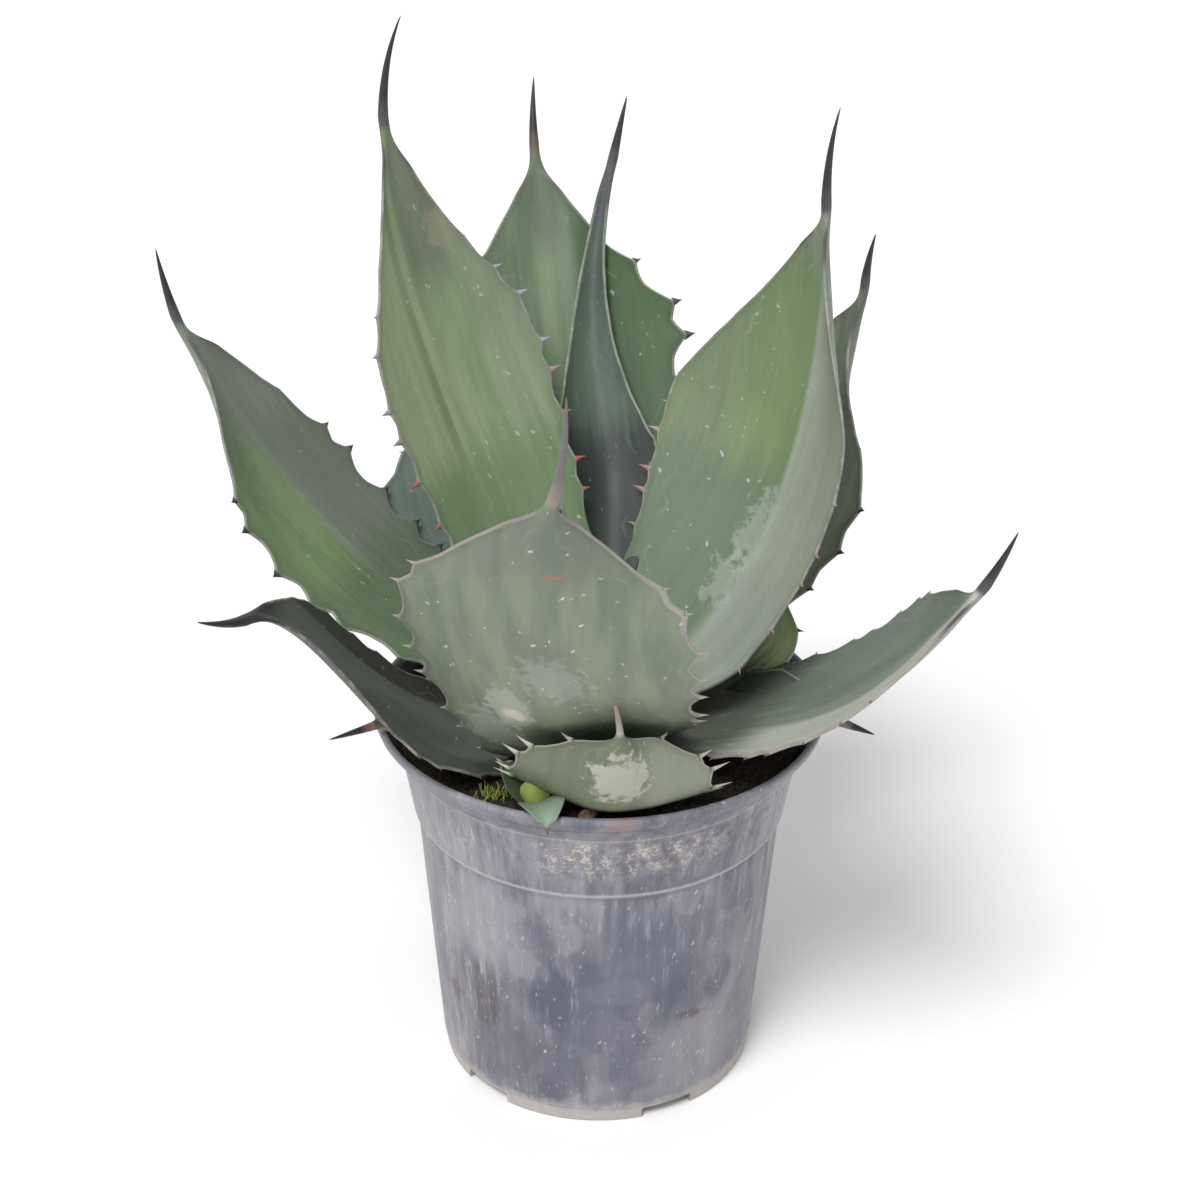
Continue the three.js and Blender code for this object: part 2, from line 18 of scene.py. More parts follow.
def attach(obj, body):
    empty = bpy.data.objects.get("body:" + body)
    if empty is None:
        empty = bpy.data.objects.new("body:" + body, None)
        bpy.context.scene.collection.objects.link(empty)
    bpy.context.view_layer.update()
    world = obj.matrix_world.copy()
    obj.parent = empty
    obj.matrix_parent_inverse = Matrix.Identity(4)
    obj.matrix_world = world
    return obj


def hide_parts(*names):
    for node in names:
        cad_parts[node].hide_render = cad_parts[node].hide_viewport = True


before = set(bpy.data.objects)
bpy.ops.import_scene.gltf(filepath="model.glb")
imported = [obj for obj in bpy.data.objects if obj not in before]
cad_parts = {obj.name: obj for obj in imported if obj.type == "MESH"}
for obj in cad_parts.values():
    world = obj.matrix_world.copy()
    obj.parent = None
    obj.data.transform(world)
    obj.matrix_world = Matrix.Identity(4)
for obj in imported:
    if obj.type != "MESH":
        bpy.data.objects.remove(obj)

MILLIMETRE = 0.001
Colour = tuple[float, float, float]
Triple = tuple[float, float, float]
log = logging.getLogger("agave")


# ---------------------------------------------------------------- shader helpers


class Value:
    """A shader socket whose arithmetic adds Math nodes."""

    def __init__(self, paint: "Paint", socket: bpy.types.NodeSocket) -> None:
        """Wraps one socket of a paint's node tree."""
        self.paint = paint
        self.socket = socket

    def __add__(self, other: "Value | float") -> "Value":
        """Sum."""
        return self.paint.math("ADD", self, other)

    __radd__ = __add__

    def __sub__(self, other: "Value | float") -> "Value":
        """Difference."""
        return self.paint.math("SUBTRACT", self, other)

    def __rsub__(self, other: float) -> "Value":
        """Reflected difference, so that 1 - mask works."""
        return self.paint.math("SUBTRACT", other, self)

    def __mul__(self, other: "Value | float") -> "Value":
        """Product."""
        return self.paint.math("MULTIPLY", self, other)

    __rmul__ = __mul__

    def __truediv__(self, other: "Value | float") -> "Value":
        """Quotient."""
        return self.paint.math("DIVIDE", self, other)

    def __pow__(self, other: float) -> "Value":
        """Power."""
        return self.paint.math("POWER", self, other)

    def __abs__(self) -> "Value":
        """Size without its sign."""
        return self.paint.math("ABSOLUTE", self)

    def least(self, other: "Value | float") -> "Value":
        """The smaller of two values."""
        return self.paint.math("MINIMUM", self, other)

    def most(self, other: "Value | float") -> "Value":
        """The larger of two values."""
        return self.paint.math("MAXIMUM", self, other)

    def ramp(self, low: float, high: float) -> "Value":
        """Smooth rise from 0 at low to 1 at high, or a fall where low is the larger.

        Args:
            low: The value that gives 0.
            high: The value that gives 1.

        Returns:
            A mask from 0 to 1.
        """
        sockets = {0: self, 1: min(low, high), 2: max(low, high)}
        sockets |= {3: 0.0, 4: 1.0} if low < high else {3: 1.0, 4: 0.0}
        return self.paint.node("ShaderNodeMapRange", {"interpolation_type": "SMOOTHSTEP"}, sockets)


class Paint:
    """One material's node tree, with a maker's shorthand for the nodes that it needs."""

    def __init__(self, name: str, specular: float = 0.5) -> None:
        """Starts a material.

        Args:
            name: The material's name.
            specular: Its specular level, the same all over.
        """
        self.material = bpy.data.materials.new(name)
        self.material.use_nodes = True
        self.tree = self.material.node_tree
        self.shader = self.tree.nodes["Principled BSDF"]
        self.shader.inputs["Specular IOR Level"].default_value = specular

    def node(self, kind: str, settings: dict, sockets: dict, output: int | str = 0) -> Value:
        """Adds any node.

        Args:
            kind: The node's type.
            settings: Its properties, set first.
            sockets: Values or links for its inputs.
            output: The output that is wanted.

        Returns:
            That output.
        """
        node = self.tree.nodes.new(kind)
        for name, value in settings.items():
            setattr(node, name, value)
        for key, value in sockets.items():
            self.feed(node.inputs[key], value)
        return Value(self, node.outputs[output])

    def feed(self, socket: bpy.types.NodeSocket, value: "Value | float | Sequence[float]") -> None:
        """Links a value to a socket, or sets the socket to a plain number or colour.

        Args:
            socket: The socket to fill.
            value: A shader value, a number, or a colour or vector of plain numbers.
        """
        if isinstance(value, Value):
            self.tree.links.new(value.socket, socket)
        elif isinstance(value, (int, float)):
            socket.default_value = value
        else:
            socket.default_value = (*value, 1.0)[: len(socket.default_value)]

    def math(self, operation: str, *values: "Value | float") -> Value:
        """A Math node on one or two values."""
        return self.node("ShaderNodeMath", {"operation": operation}, dict(enumerate(values)))

    def mix(self, share: "Value | float", first: "Value | Colour", second: "Value | Colour") -> Value:
        """A colour that goes from the first to the second as share goes from 0 to 1."""
        return self.node("ShaderNodeMix", {"data_type": "RGBA"}, {0: share, 6: first, 7: second}, 2)

    def tint(self, colour: "Value | Colour", shade: Value) -> Value:
        """A colour made darker or lighter by a plain factor.

        Args:
            colour: The colour.
            shade: The factor, 1 for no change.

        Returns:
            The shaded colour.
        """
        grey = self.node("ShaderNodeCombineColor", {}, {0: shade, 1: shade, 2: shade})
        settings = {"data_type": "RGBA", "blend_type": "MULTIPLY"}
        return self.node("ShaderNodeMix", settings, {0: 1.0, 6: colour, 7: grey}, 2)

    def vector(self, x: "Value | float", y: "Value | float", z: "Value | float") -> Value:
        """A vector from three values."""
        return self.node("ShaderNodeCombineXYZ", {}, {0: x, 1: y, 2: z})

    def where(self) -> tuple[Value, Value, Value]:
        """Splits the surface point in the object's own frame.

        Returns:
            Its x, y and z, in millimetres.
        """
        point = self.node("ShaderNodeTexCoord", {}, {}, "Object")
        split = self.tree.nodes.new("ShaderNodeSeparateXYZ")
        self.feed(split.inputs[0], point)
        return tuple(Value(self, socket) * 1000.0 for socket in split.outputs)

    def attribute(self, name: str) -> Value:
        """One of the piece's own named numbers."""
        return self.node("ShaderNodeAttribute", {"attribute_name": name}, {}, "Fac")

    def noise(self, point: Value, scale: float, detail: float = 3.0, rough: float = 0.55) -> Value:
        """Soft noise around 0.5."""
        sockets = {"Vector": point, "Scale": scale, "Detail": detail, "Roughness": rough}
        return self.node("ShaderNodeTexNoise", {}, sockets, 0)

    def cells(self, point: Value, scale: float, random_place: float = 1.0) -> Value:
        """Distance to the nearest of many scattered points."""
        sockets = {"Vector": point, "Scale": scale, "Randomness": random_place}
        return self.node("ShaderNodeTexVoronoi", {}, sockets, "Distance")

    def finish(self, colour: Value, rough: "Value | float", height: Value | None = None,
               depth: float = 0.3) -> bpy.types.Material:
        """Links the results to the shader.

        Args:
            colour: The base colour.
            rough: The roughness.
            height: Relief, from about 0 to 1.
            depth: How deep that relief is, in millimetres.

        Returns:
            The material.
        """
        self.feed(self.shader.inputs["Base Color"], colour)
        self.feed(self.shader.inputs["Roughness"], rough)
        if height is not None:
            sockets = {"Height": height, "Distance": depth * MILLIMETRE, "Strength": 1.0}
            self.feed(self.shader.inputs["Normal"], self.node("ShaderNodeBump", {}, sockets))
        return self.material


# ---------------------------------------------------------------- mesh helpers


def mix(a: float, b: float, share: float) -> float:
    """Goes from a to b as share goes from 0 to 1."""
    return a + (b - a) * share


def smooth(value: float, low: float, high: float) -> float:
    """Smooth rise from 0 at low to 1 at high."""
    share = min(max((value - low) / (high - low), 0.0), 1.0)
    return share * share * (3 - 2 * share)


def through(values: Triple, t: float) -> float:
    """A curve through three values at 0, 0.5 and 1."""
    a, b, c = values
    return a * (1 - t) * (1 - 2 * t) + 4 * b * t * (1 - t) + c * t * (2 * t - 1)


def tube(bm: bmesh.types.BMesh, around: int, rows: int,
         place: Callable[[bmesh.types.BMVert, int, int], None]) -> None:
    """Wraps a grid into a closed tube whose ends may be drawn together to a point.

    Args:
        bm: The mesh to add to.
        around: Columns round the tube.
        rows: Steps along it.
        place: Moves a grid vertex to its column and row.
    """
    made = bmesh.ops.create_grid(bm, x_segments=around, y_segments=rows, size=0.5)["verts"]
    for vert in made:
        i = round((vert.co.x + 0.5) * around)
        place(vert, i % around, round((vert.co.y + 0.5) * rows))
    bmesh.ops.remove_doubles(bm, verts=made, dist=1e-5)


def turned(bm: bmesh.types.BMesh, profile: Sequence[tuple[float, float]], steps: int,
           start: float = 0.0, sweep: float = math.tau) -> list[bmesh.types.BMFace]:
    """Spins a profile of (radius, height) points about the upright axis.

    Args:
        bm: The mesh to add to.
        profile: The points, in order along the profile.
        steps: Steps of the spin.
        start: Azimuth at which it starts, in radians.
        sweep: How far it goes round.

    Returns:
        The faces of the spun surface.
    """
    first = [bm.verts.new((r * math.cos(start), r * math.sin(start), z)) for r, z in profile]
    edges = [bm.edges.new(pair) for pair in zip(first, first[1:])]
    before = set(bm.faces)
    full = sweep == math.tau
    bmesh.ops.spin(bm, geom=first + edges, cent=(0, 0, 0), axis=(0, 0, 1), angle=sweep, steps=steps,
                   use_merge=full, use_duplicate=False)
    bmesh.ops.remove_doubles(bm, verts=bm.verts, dist=1e-5)
    return [face for face in bm.faces if face not in before]


def piece(bm: bmesh.types.BMesh, name: str, finish: bpy.types.Material,
          node: str | None) -> bpy.types.Object:
    """Makes an object of a mesh built in millimetres, puts it under the root body and hides the CAD node that
    it stands for.

    Args:
        bm: The mesh, which is used up.
        name: The object's name.
        finish: Its material.
        node: The CAD node that it stands for, if any.

    Returns:
        The object.
    """
    bmesh.ops.recalc_face_normals(bm, faces=bm.faces)
    bmesh.ops.transform(bm, matrix=Matrix.Scale(MILLIMETRE, 4), verts=bm.verts)
    mesh = bpy.data.meshes.new(name)
    bm.to_mesh(mesh)
    bm.free()
    mesh.shade_smooth()
    mesh.materials.append(finish)
    made = bpy.data.objects.new(name, mesh)
    bpy.context.collection.objects.link(made)
    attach(made, "root")
    if node:
        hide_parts(node)
    log.info("%s: %d faces", name, len(mesh.polygons))
    return made


# ---------------------------------------------------------------- leaves


class Face(Enum):
    """Which face of a leaf a mark lies on."""

    UPPER = 0
    UNDER = 1


@dataclass(frozen=True)
class Mark:
    """A scab or stain on a leaf, in millimetres along it and across it."""

    along: float
    side: float
    size: Triple  # half length, half width, raggedness
    colour: Colour
    face: Face = Face.UPPER
    strength: float = 0.9


class Across(Enum):
    """What a strip's width is measured from."""

    MIDRIB = "side"
    MARGIN = "edge"


@dataclass(frozen=True)
class Strip:
    """A long tonal strip of a leaf; sizes in millimetres, negative on the leaf's right half."""

    low: float
    high: float
    start: float
    end: float
    colour: Colour
    strength: float = 0.6
    soft: float = 1.5
    across: Across = Across.MIDRIB
    half: float = 0.0  # 1 keeps it to the left half, -1 to the right one
    face: Face = Face.UPPER


@dataclass(frozen=True)
class LeafLook:
    """The finish of one leaf: waxy skin, horny margin, teeth and spine."""

    green: Colour = (0.170, 0.240, 0.140)
    deep: Colour = (0.105, 0.165, 0.095)
    under_green: Colour = (0.200, 0.240, 0.180)
    under_deep: Colour = (0.140, 0.175, 0.135)
    bloom: Colour = (0.270, 0.310, 0.270)
    bloom_left: float = 0.25  # how far the wax bloom covers each half
    bloom_right: float = 0.25
    streak: float = 0.16
    speck: float = 0.5
    imprint: float = 0.25
    margin: Colour = (0.200, 0.205, 0.180)
    tooth_low: Colour = (0.120, 0.075, 0.070)
    tooth_high: Colour = (0.045, 0.040, 0.048)
    horn: Colour = (0.030, 0.028, 0.032)
    horn_foot: Colour = (0.105, 0.095, 0.105)
    young: Colour | None = None
    old: Colour = (0.070, 0.130, 0.060)
    marks: tuple[Mark, ...] = ()
    strips: tuple[Strip, ...] = ()

    def dress(self, name: str, seed: float, length: float) -> bpy.types.Material:
        """Builds the material.

        Args:
            name: The leaf's name.
            seed: Shifts the patterns, so that no two leaves are alike.
            length: The blade's length, in millimetres.

        Returns:
            The material.
        """
        paint = Paint(f"{name}_skin", specular=0.38)
        side, along, edge, under, horn = (paint.attribute(kind) for kind in
                                          ("side", "along", "edge", "under", "horn"))
        x, y, z = paint.where()
        spot = paint.vector(x, y, z + seed * 40)
        flat = paint.vector(side + under * 300.0, along + seed * 31, seed * 7.0)
        fibre = paint.noise(paint.vector(side * 0.30 + under * 90, along * 0.012 + seed, seed), 1.0, 4)
        broad = paint.noise(paint.vector(side * 0.075 + under * 50, along * 0.014, seed * 3), 1.0, 2)
        cloud = paint.noise(flat, 0.045, 4, 0.6)
        fine = paint.noise(flat, 0.55, 3)

        upper = paint.mix(broad.ramp(0.33, 0.67), self.deep, self.green)
        lower = paint.mix(broad.ramp(0.33, 0.67), self.under_deep, self.under_green)
        skin = paint.mix(under, upper, lower)
        if self.young:
            tag = paint.attribute("tag")
            skin = paint.mix(tag.ramp(0.0, 1.0), skin, self.young)
            skin = paint.mix(tag.ramp(1.0, 2.0), skin, self.old)
        for strip in self.strips:
            skin = paint.mix(self.strip_mask(paint, strip, fibre), skin, strip.colour)
        skin = paint.tint(skin, 1.0 + (fibre - 0.5) * (2 * self.streak) + (fine - 0.5) * 0.14)

        right = (0.0 - side).ramp(-4.0, 4.0)
        cover = (1 - right) * self.bloom_left + right * self.bloom_right
        wax = (cloud + (fibre - 0.5) * 0.2 + cover - 0.5).ramp(0.40, 0.75) * 0.7
        skin = paint.mix(wax, skin, self.bloom)

        fold = abs(edge - 10.0 - paint.math("SINE", along * 0.33 + seed) * 2.2)
        print_line = fold.ramp(1.4, 0.2) * cloud.ramp(0.45, 0.65) * self.imprint
        skin = paint.mix(print_line, skin, self.bloom)
        skin = paint.tint(skin, 1.0 - edge.ramp(4.5, 0.8) * 0.16)

        jog = (fine - 0.5) * 5.0
        flat = paint.vector(side + under * 300.0 + jog, along * 0.8 + jog + seed * 31, seed * 7.0)
        long_way = paint.vector(side + under * 300.0 + jog, along * 0.4 + seed * 31, seed * 7.0)
        specks = paint.cells(flat, 0.14).ramp(0.125, 0.07) * paint.noise(flat, 0.06, 1).ramp(0.46, 0.60)
        tiny = paint.cells(long_way, 0.32).ramp(0.15, 0.08) * paint.noise(flat, 0.11, 1).ramp(0.50, 0.64)
        white = ((specks + tiny * 0.8) * self.speck).least(1.0)
        skin = paint.mix(white, skin, (0.56, 0.57, 0.52))
        scab = (paint.noise(spot, 0.12, 4, 0.7) + paint.noise(spot, 0.7, 2) * 0.25).ramp(0.88, 0.95)
        skin = paint.mix(scab * 0.6, skin, (0.30, 0.26, 0.21))

        for mark in self.marks:
            long, wide, ragged = mark.size
            reach = (((along - mark.along) / long) ** 2.0 + ((side - mark.side) / wide) ** 2.0) ** 0.5
            torn = reach + (paint.noise(flat, 0.25, 4) - 0.5) * ragged
            facing = under if mark.face is Face.UNDER else 1 - under
            skin = paint.mix(torn.ramp(1.15, 0.7) * facing * mark.strength, skin, mark.colour)

        soil_dust = along.ramp(30.0, 4.0) * (0.30 + cloud * 0.6)
        skin = paint.mix(soil_dust * 0.7, skin, (0.085, 0.068, 0.050))

        worn = paint.noise(paint.vector(along * 0.12, side * 0.02, seed), 1.0, 3)
        rim = edge.ramp(0.85, 0.1)
        rim_colour = paint.mix(worn.ramp(0.40, 0.66), self.margin, (0.36, 0.34, 0.31))
        skin = paint.mix(rim * along.ramp(30.0, 70.0) * 0.75, skin, rim_colour)
        tooth = paint.mix(along.ramp(length * 0.38, length * 0.56), self.tooth_low, self.tooth_high)
        spine = paint.mix(horn.ramp(0.10, 0.80), self.horn_foot, self.horn)
        horn_skin = paint.mix(along.ramp(length * 0.84, length * 0.90), tooth, spine)
        horn_skin = paint.tint(horn_skin, 0.8 + paint.noise(spot, 0.5, 3) * 0.4)
        skin = paint.mix(horn.ramp(0.0, 0.30), skin, horn_skin)

        rough = 0.52 + (cloud - 0.5) * 0.2 + wax * 0.1 + white * 0.2 - horn * 0.1
        relief = fibre * 0.45 + fine * 0.22 + paint.noise(flat, 2.2, 2) * 0.10 + white * 0.3
        return paint.finish(skin, rough.least(0.85).most(0.3), relief, 0.14)

    @staticmethod
    def strip_mask(paint: Paint, strip: Strip, fibre: Value) -> Value:
        """Where a strip shows.

        Args:
            paint: The material.
            strip: The strip.
            fibre: The fibre noise, which frays its ends.

        Returns:
            A mask from 0 to its strength.
        """
        across = paint.attribute(strip.across.value)
        along = paint.attribute("along") + (fibre - 0.5) * 26.0
        under = paint.attribute("under")
        low = across.ramp(strip.low - strip.soft, strip.low + strip.soft)
        high = across.ramp(strip.high + strip.soft, strip.high - strip.soft)
        ends = along.ramp(strip.start - 14.0, strip.start + 14.0) * along.ramp(
            strip.end + 14.0, strip.end - 14.0)
        mask = low * high * ends * (under if strip.face is Face.UNDER else 1 - under)
        if strip.half:
            mask = mask * (paint.attribute("side") * strip.half).ramp(-1.5, 1.5)
        return mask * strip.strength


@dataclass(frozen=True)
class Leaf:
    """One leaf by its place on the stem and its curves; angles in degrees, sizes in millimetres."""

    name: str
    side: float
    out: float
    up: float
    length: float
    width: float
    heading: Triple
    pitch: Triple
    roll: tuple[float, float]
    fold: Triple
    widest: float
    foot: float
    taper: float
    draw: float
    spine: Triple
    teeth: int = 0
    bite: float = 1.0
    plump: float = 1.0
    bare: float = 0.9  # share of the length past which the teeth are small
    wave: float = 1.0  # how deep the margin is scalloped
    reach: float = 0.8  # share of the length at which the teeth end
    look: LeafLook = field(default_factory=LeafLook)


@dataclass(frozen=True)
class BladeSizes:
    """Sizes that all blades share."""

    rib_thick: float = 8.5
    mid_thick: float = 4.2
    tip_thick: float = 2.6
    edge_foot: float = 3.4
    edge: float = 1.3
    thinnest: float = 0.7
    neck: float = 2.2
    rise: float = 1.15
    clasp: float = 0.16
    clasp_turn: float = 1.35
    clasp_least: float = 4.0
    bend: float = 0.35
    swell: float = 1.6
    edge_run: float = 0.3
    spine_tip: float = 0.12
    spine_taper: float = 0.8
    spine_lead: float = 1 / 6
    spine_share: float = 0.985
    rim_share: float = 0.06  # share of a half turn that each rim takes on the round spine
    least_rows: int = 28
    spine_rows: int = 18
    midrib_steps: int = 36
    fold_steps: int = 6
    swell_high: float = 0.75  # long soft waves of the upper face, and their sizes across and along
    swell_waves: tuple[float, float] = (13.0, 60.0)
    belly_high: float = 0.6  # the same on the lower face
    belly_waves: tuple[float, float] = (15.0, 70.0)


@dataclass(frozen=True)
class ToothSizes:
    """Sizes of the marginal teeth and of the fleshy mounds that they stand on."""

    height: float = 6.6
    half: float = 1.9
    thick: float = 0.8
    mound: float = 2.9
    valley: float = -1.3
    first: float = 0.12
    hook: float = 1.8
    drift: float = 0.16
    least: float = 0.75
    more: float = 0.35
    full: float = 110.0
    rooted: float = 1.3
    around: int = 8
    rows: int = 6


@dataclass(frozen=True)
class Spot:
    """A point on a leaf with the numbers that its skin is painted by."""

    point: Vector
    side: float
    edge: float
    under: float


class Blade:
    """The shape of one leaf as a closed tube round its section, and its teeth and spine."""

    def __init__(self, leaf: Leaf, centre: Vector, columns: int, row_step: float) -> None:
        """Lays out the leaf's midrib.

        Args:
            leaf: The leaf.
            centre: Where its stem stands.
            columns: Panels across one face.
            row_step: Spacing of the rows along the leaf.
        """
        self.leaf = leaf
        self.sizes = BladeSizes()
        self.tooth = ToothSizes()
        self.columns = columns
        self.rows = max(self.sizes.least_rows, round(leaf.length / row_step))
        self.seed = leaf.side * 0.37 + leaf.length * 0.11
        start = self.horizontal(math.radians(leaf.side)) * leaf.out
        self.midrib = [centre + start + Vector((0, 0, leaf.up))]
        steps = self.sizes.midrib_steps
        for i in range(steps):
            heading, pitch, _ = self.angles((i + 0.5) / steps)
            self.midrib.append(self.midrib[i] + self.tangent(heading, pitch) * (leaf.length / steps))
        self.across = [self.share(1 - 2 * i / columns) for i in range(columns + 1)]

    @staticmethod
    def share(s: float) -> float:
        """Spreads the columns so that they crowd towards the margins."""
        return mix(s, math.sin(s * math.pi / 2), 0.75)

    @staticmethod
    def horizontal(heading: float) -> Vector:
        """A level direction."""
        return Vector((math.cos(heading), math.sin(heading), 0))

    @classmethod
    def tangent(cls, heading: float, pitch: float) -> Vector:
        """A direction by its heading and pitch."""
        level = cls.horizontal(heading) * math.cos(pitch)
        return Vector((level.x, level.y, math.sin(pitch)))

    def angles(self, t: float) -> Triple:
        """Reads the leaf's curves.

        Args:
            t: Place along the leaf, 0 at its foot and 1 at its neck.

        Returns:
            Heading, pitch and roll there, in radians.
        """
        leaf = self.leaf
        return (math.radians(through(leaf.heading, t)), math.radians(through(leaf.pitch, t)),
                math.radians(mix(leaf.roll[0], leaf.roll[1], t)))

    def frame_at(self, t: float) -> tuple[Vector, Vector, Vector, Vector]:
        """Stands on the midrib.

        Args:
            t: Place along the leaf, 0 to 1.

        Returns:
            The midrib's point, and the directions along it, to its left and out of its upper face.
        """
        steps = len(self.midrib) - 1
        place = min(max(t, 0.0), 1.0) * steps
        low = min(int(place), steps - 1)
        heading, pitch, roll = self.angles(t)
        along = self.tangent(heading, pitch)
        level = Vector((-math.sin(heading), math.cos(heading), 0))
        up = along.cross(level)
        side = level * math.cos(roll) + up * math.sin(roll)
        face = up * math.cos(roll) - level * math.sin(roll)
        return self.midrib[low].lerp(self.midrib[low + 1], place - low), along, side, face

    def half_width(self, t: float) -> float:
        """Follows the blade's outline, without its teeth.

        Args:
            t: Place along the leaf, 0 to 1.

        Returns:
            Half the blade's width there.
        """
        full = self.leaf.width / 2
        sizes = self.sizes
        if t < self.leaf.widest:
            rise = math.sin(max(t, 0.0) / self.leaf.widest * math.pi / 2) ** sizes.rise
            return full * mix(self.leaf.foot, 1, rise)
        y = min((t - self.leaf.widest) / (1 - self.leaf.widest), 1.0)
        return mix(sizes.neck, full, (1 - y**self.leaf.taper) ** self.leaf.draw)

    def bite_at(self, t: float) -> float:
        """Scales the teeth along the leaf.

        Args:
            t: Place along the leaf, 0 to 1.

        Returns:
            Their size there, as a share of the full one.
        """
        leaf, tooth = self.leaf, self.tooth
        share = (t - tooth.first) / (leaf.reach - tooth.first)
        grown = tooth.least + tooth.more * math.sin(min(max(share, 0.0), 1.0) * math.pi)
        fade = 1 - 0.72 * smooth(t, leaf.bare - 0.08, leaf.bare + 0.08)
        return leaf.bite * min(1.0, leaf.length / tooth.full) * grown * fade

    def tooth_places(self) -> list[float]:
        """Spaces the teeth unevenly along the margin.

        Returns:
            Where each pair stands, as a share of the length.
        """
        leaf, tooth = self.leaf, self.tooth
        if not leaf.teeth:
            return []
        pitch = (leaf.reach - tooth.first) / leaf.teeth
        return [tooth.first + (k + 0.5 + tooth.drift * math.sin(2.4 * k + leaf.side)) * pitch
                for k in range(leaf.teeth)]

    def margin_at(self, t: float) -> float:
        """Scallops the margin, which rises to a cusp under each tooth.

        Args:
            t: Place along the leaf, 0 to 1.

        Returns:
            How far the margin stands out there.
        """
        places = self.tooth_places()
        if not places:
            return 0.0
        tooth = self.tooth
        pitch = (self.leaf.reach - tooth.first) / self.leaf.teeth
        wake = smooth(t, tooth.first - pitch * 0.6, tooth.first + pitch * 0.3) * (
            1 - smooth(t, self.leaf.reach - pitch * 0.2, self.leaf.reach + pitch * 0.7))
        near = max(0.0, 1 - min(abs(t - centre) for centre in places) / (pitch * 0.52))
        return wake * self.leaf.wave * self.bite_at(t) * mix(tooth.valley, tooth.mound, near**1.6)

    def folded(self, fold: float, u: float) -> Triple:
        """Walks out along the folded section.

        Args:
            fold: How far the half is folded up, in radians.
            u: Place across the half, 0 at the midrib and 1 at the margin.

        Returns:
            How far out and how far up that place lies, for a half width of 1, and the slope there.
        """
        bend = self.sizes.bend
        gain = fold / math.tanh(1 / bend)
        x = y = 0.0
        steps = self.sizes.fold_steps
        for i in range(steps):
            angle = gain * math.tanh(u * (i + 0.5) / steps / bend)
            x += math.cos(angle) * u / steps
            y += math.sin(angle) * u / steps
        return x, y, gain * math.tanh(u / bend)

    def section(self, t: float) -> list[Spot]:
        """Lays out one closed section.

        Args:
            t: Place along the leaf, 0 to 1.

        Returns:
            Its points: the upper face from left to right, the right rim, the lower face back and
            the left rim.
        """
        leaf, sizes = self.leaf, self.sizes
        point, along, side, face = self.frame_at(t)
        heading = self.angles(t)[0]
        half = self.half_width(t)
        fold = math.radians(through(leaf.fold, t))
        rib = mix(sizes.rib_thick, sizes.mid_thick, t * 2) if t < 0.5 else mix(
            sizes.mid_thick, sizes.tip_thick, t * 2 - 1)
        edge = mix(sizes.edge, sizes.edge_foot, max(0.0, 1 - t / sizes.edge_run))
        clasp = max(0.0, 1 - t / sizes.clasp) ** 2
        margin = self.margin_at(t)
        calm = smooth(t, 0.02, 0.2) * (1 - smooth(t, 0.86, 0.98)) * leaf.plump
        upper: list[Spot] = []
        lower: list[Spot] = []
        rims: list[list[Spot]] = []
        for u in self.across:
            hand = 1.0 if u > 0 else -1.0
            size = abs(u)
            x, y, angle = self.folded(fold, size)
            grown = margin * smooth(size, 0.8, 1.0)
            reach = x * half + grown * math.cos(angle)
            lift = y * half + grown * math.sin(angle)
            normal = face * math.cos(angle) - side * (hand * math.sin(angle))
            outward = side * (hand * math.cos(angle)) + face * math.sin(angle)
            wrap = min(reach / max(leaf.out, sizes.clasp_least), sizes.clasp_turn)
            place = point + side * (hand * mix(reach, leaf.out * math.sin(wrap), clasp))
            place += self.horizontal(heading) * (clasp * leaf.out * (math.cos(wrap) - 1))
            place += face * lift
            thick = (edge + (rib - edge) * (1 - size**sizes.swell)) * leaf.plump
            thick = max(thick, sizes.thinnest)
            across, run = u * half, t * leaf.length
            body = calm * (1 - size**5)
            wide, long = sizes.swell_waves
            swell = noise.noise(Vector((across / wide, run / long, self.seed))) * sizes.swell_high * body
            wide, long = sizes.belly_waves
            belly = noise.noise(Vector((across / wide, run / long, self.seed + 50))) * sizes.belly_high * body
            inset = (1 - size) * half
            upper.append(Spot(place + normal * swell, across, inset, 0.0))
            lower.append(Spot(place - normal * (thick + belly), across, inset, 1.0))
            if size > 0.999:
                middle = place - normal * (thick / 2)
                rims.append([Spot(middle + normal * (thick / 2 * math.cos(turn))
                                  + outward * (thick * 0.42 * math.sin(turn)), across,
                                  -0.3 * math.sin(turn), turn / math.pi)
                             for turn in (math.pi / 4, math.pi / 2, math.pi * 3 / 4)])
        left, right = rims
        return [*upper, *right, *reversed(lower), *reversed(left)]

    def circle_angles(self) -> list[float]:
        """Places a section's points on a circle, as on the spine.

        Returns:
            The angle of each point, in the section's order.
        """
        n = self.columns
        flat = self.sizes.rim_share
        upper = [math.pi * mix(flat, 1 - flat, i / n) for i in range(n + 1)]
        lower = [math.pi + angle for angle in upper]
        rim = [math.pi * flat * step for step in (-0.5, 0.0, 0.5)]
        return [*upper, *(math.pi + step for step in rim), *lower, *(math.tau + step for step in rim)]

    def build(self, bm: bmesh.types.BMesh, tag: float = 0.0) -> None:
        """Adds the blade, its spine and its teeth to a mesh.

        Args:
            bm: The mesh to add to.
            tag: Which of a plant's ages it is painted in: 0 grown, 1 young, 2 old.
        """
        names = ("side", "along", "edge", "under", "horn", "tag")
        layers = {name: bm.verts.layers.float.get(name) or bm.verts.layers.float.new(name)
                  for name in names}
        rings = self.rings()
        around = len(rings[1])

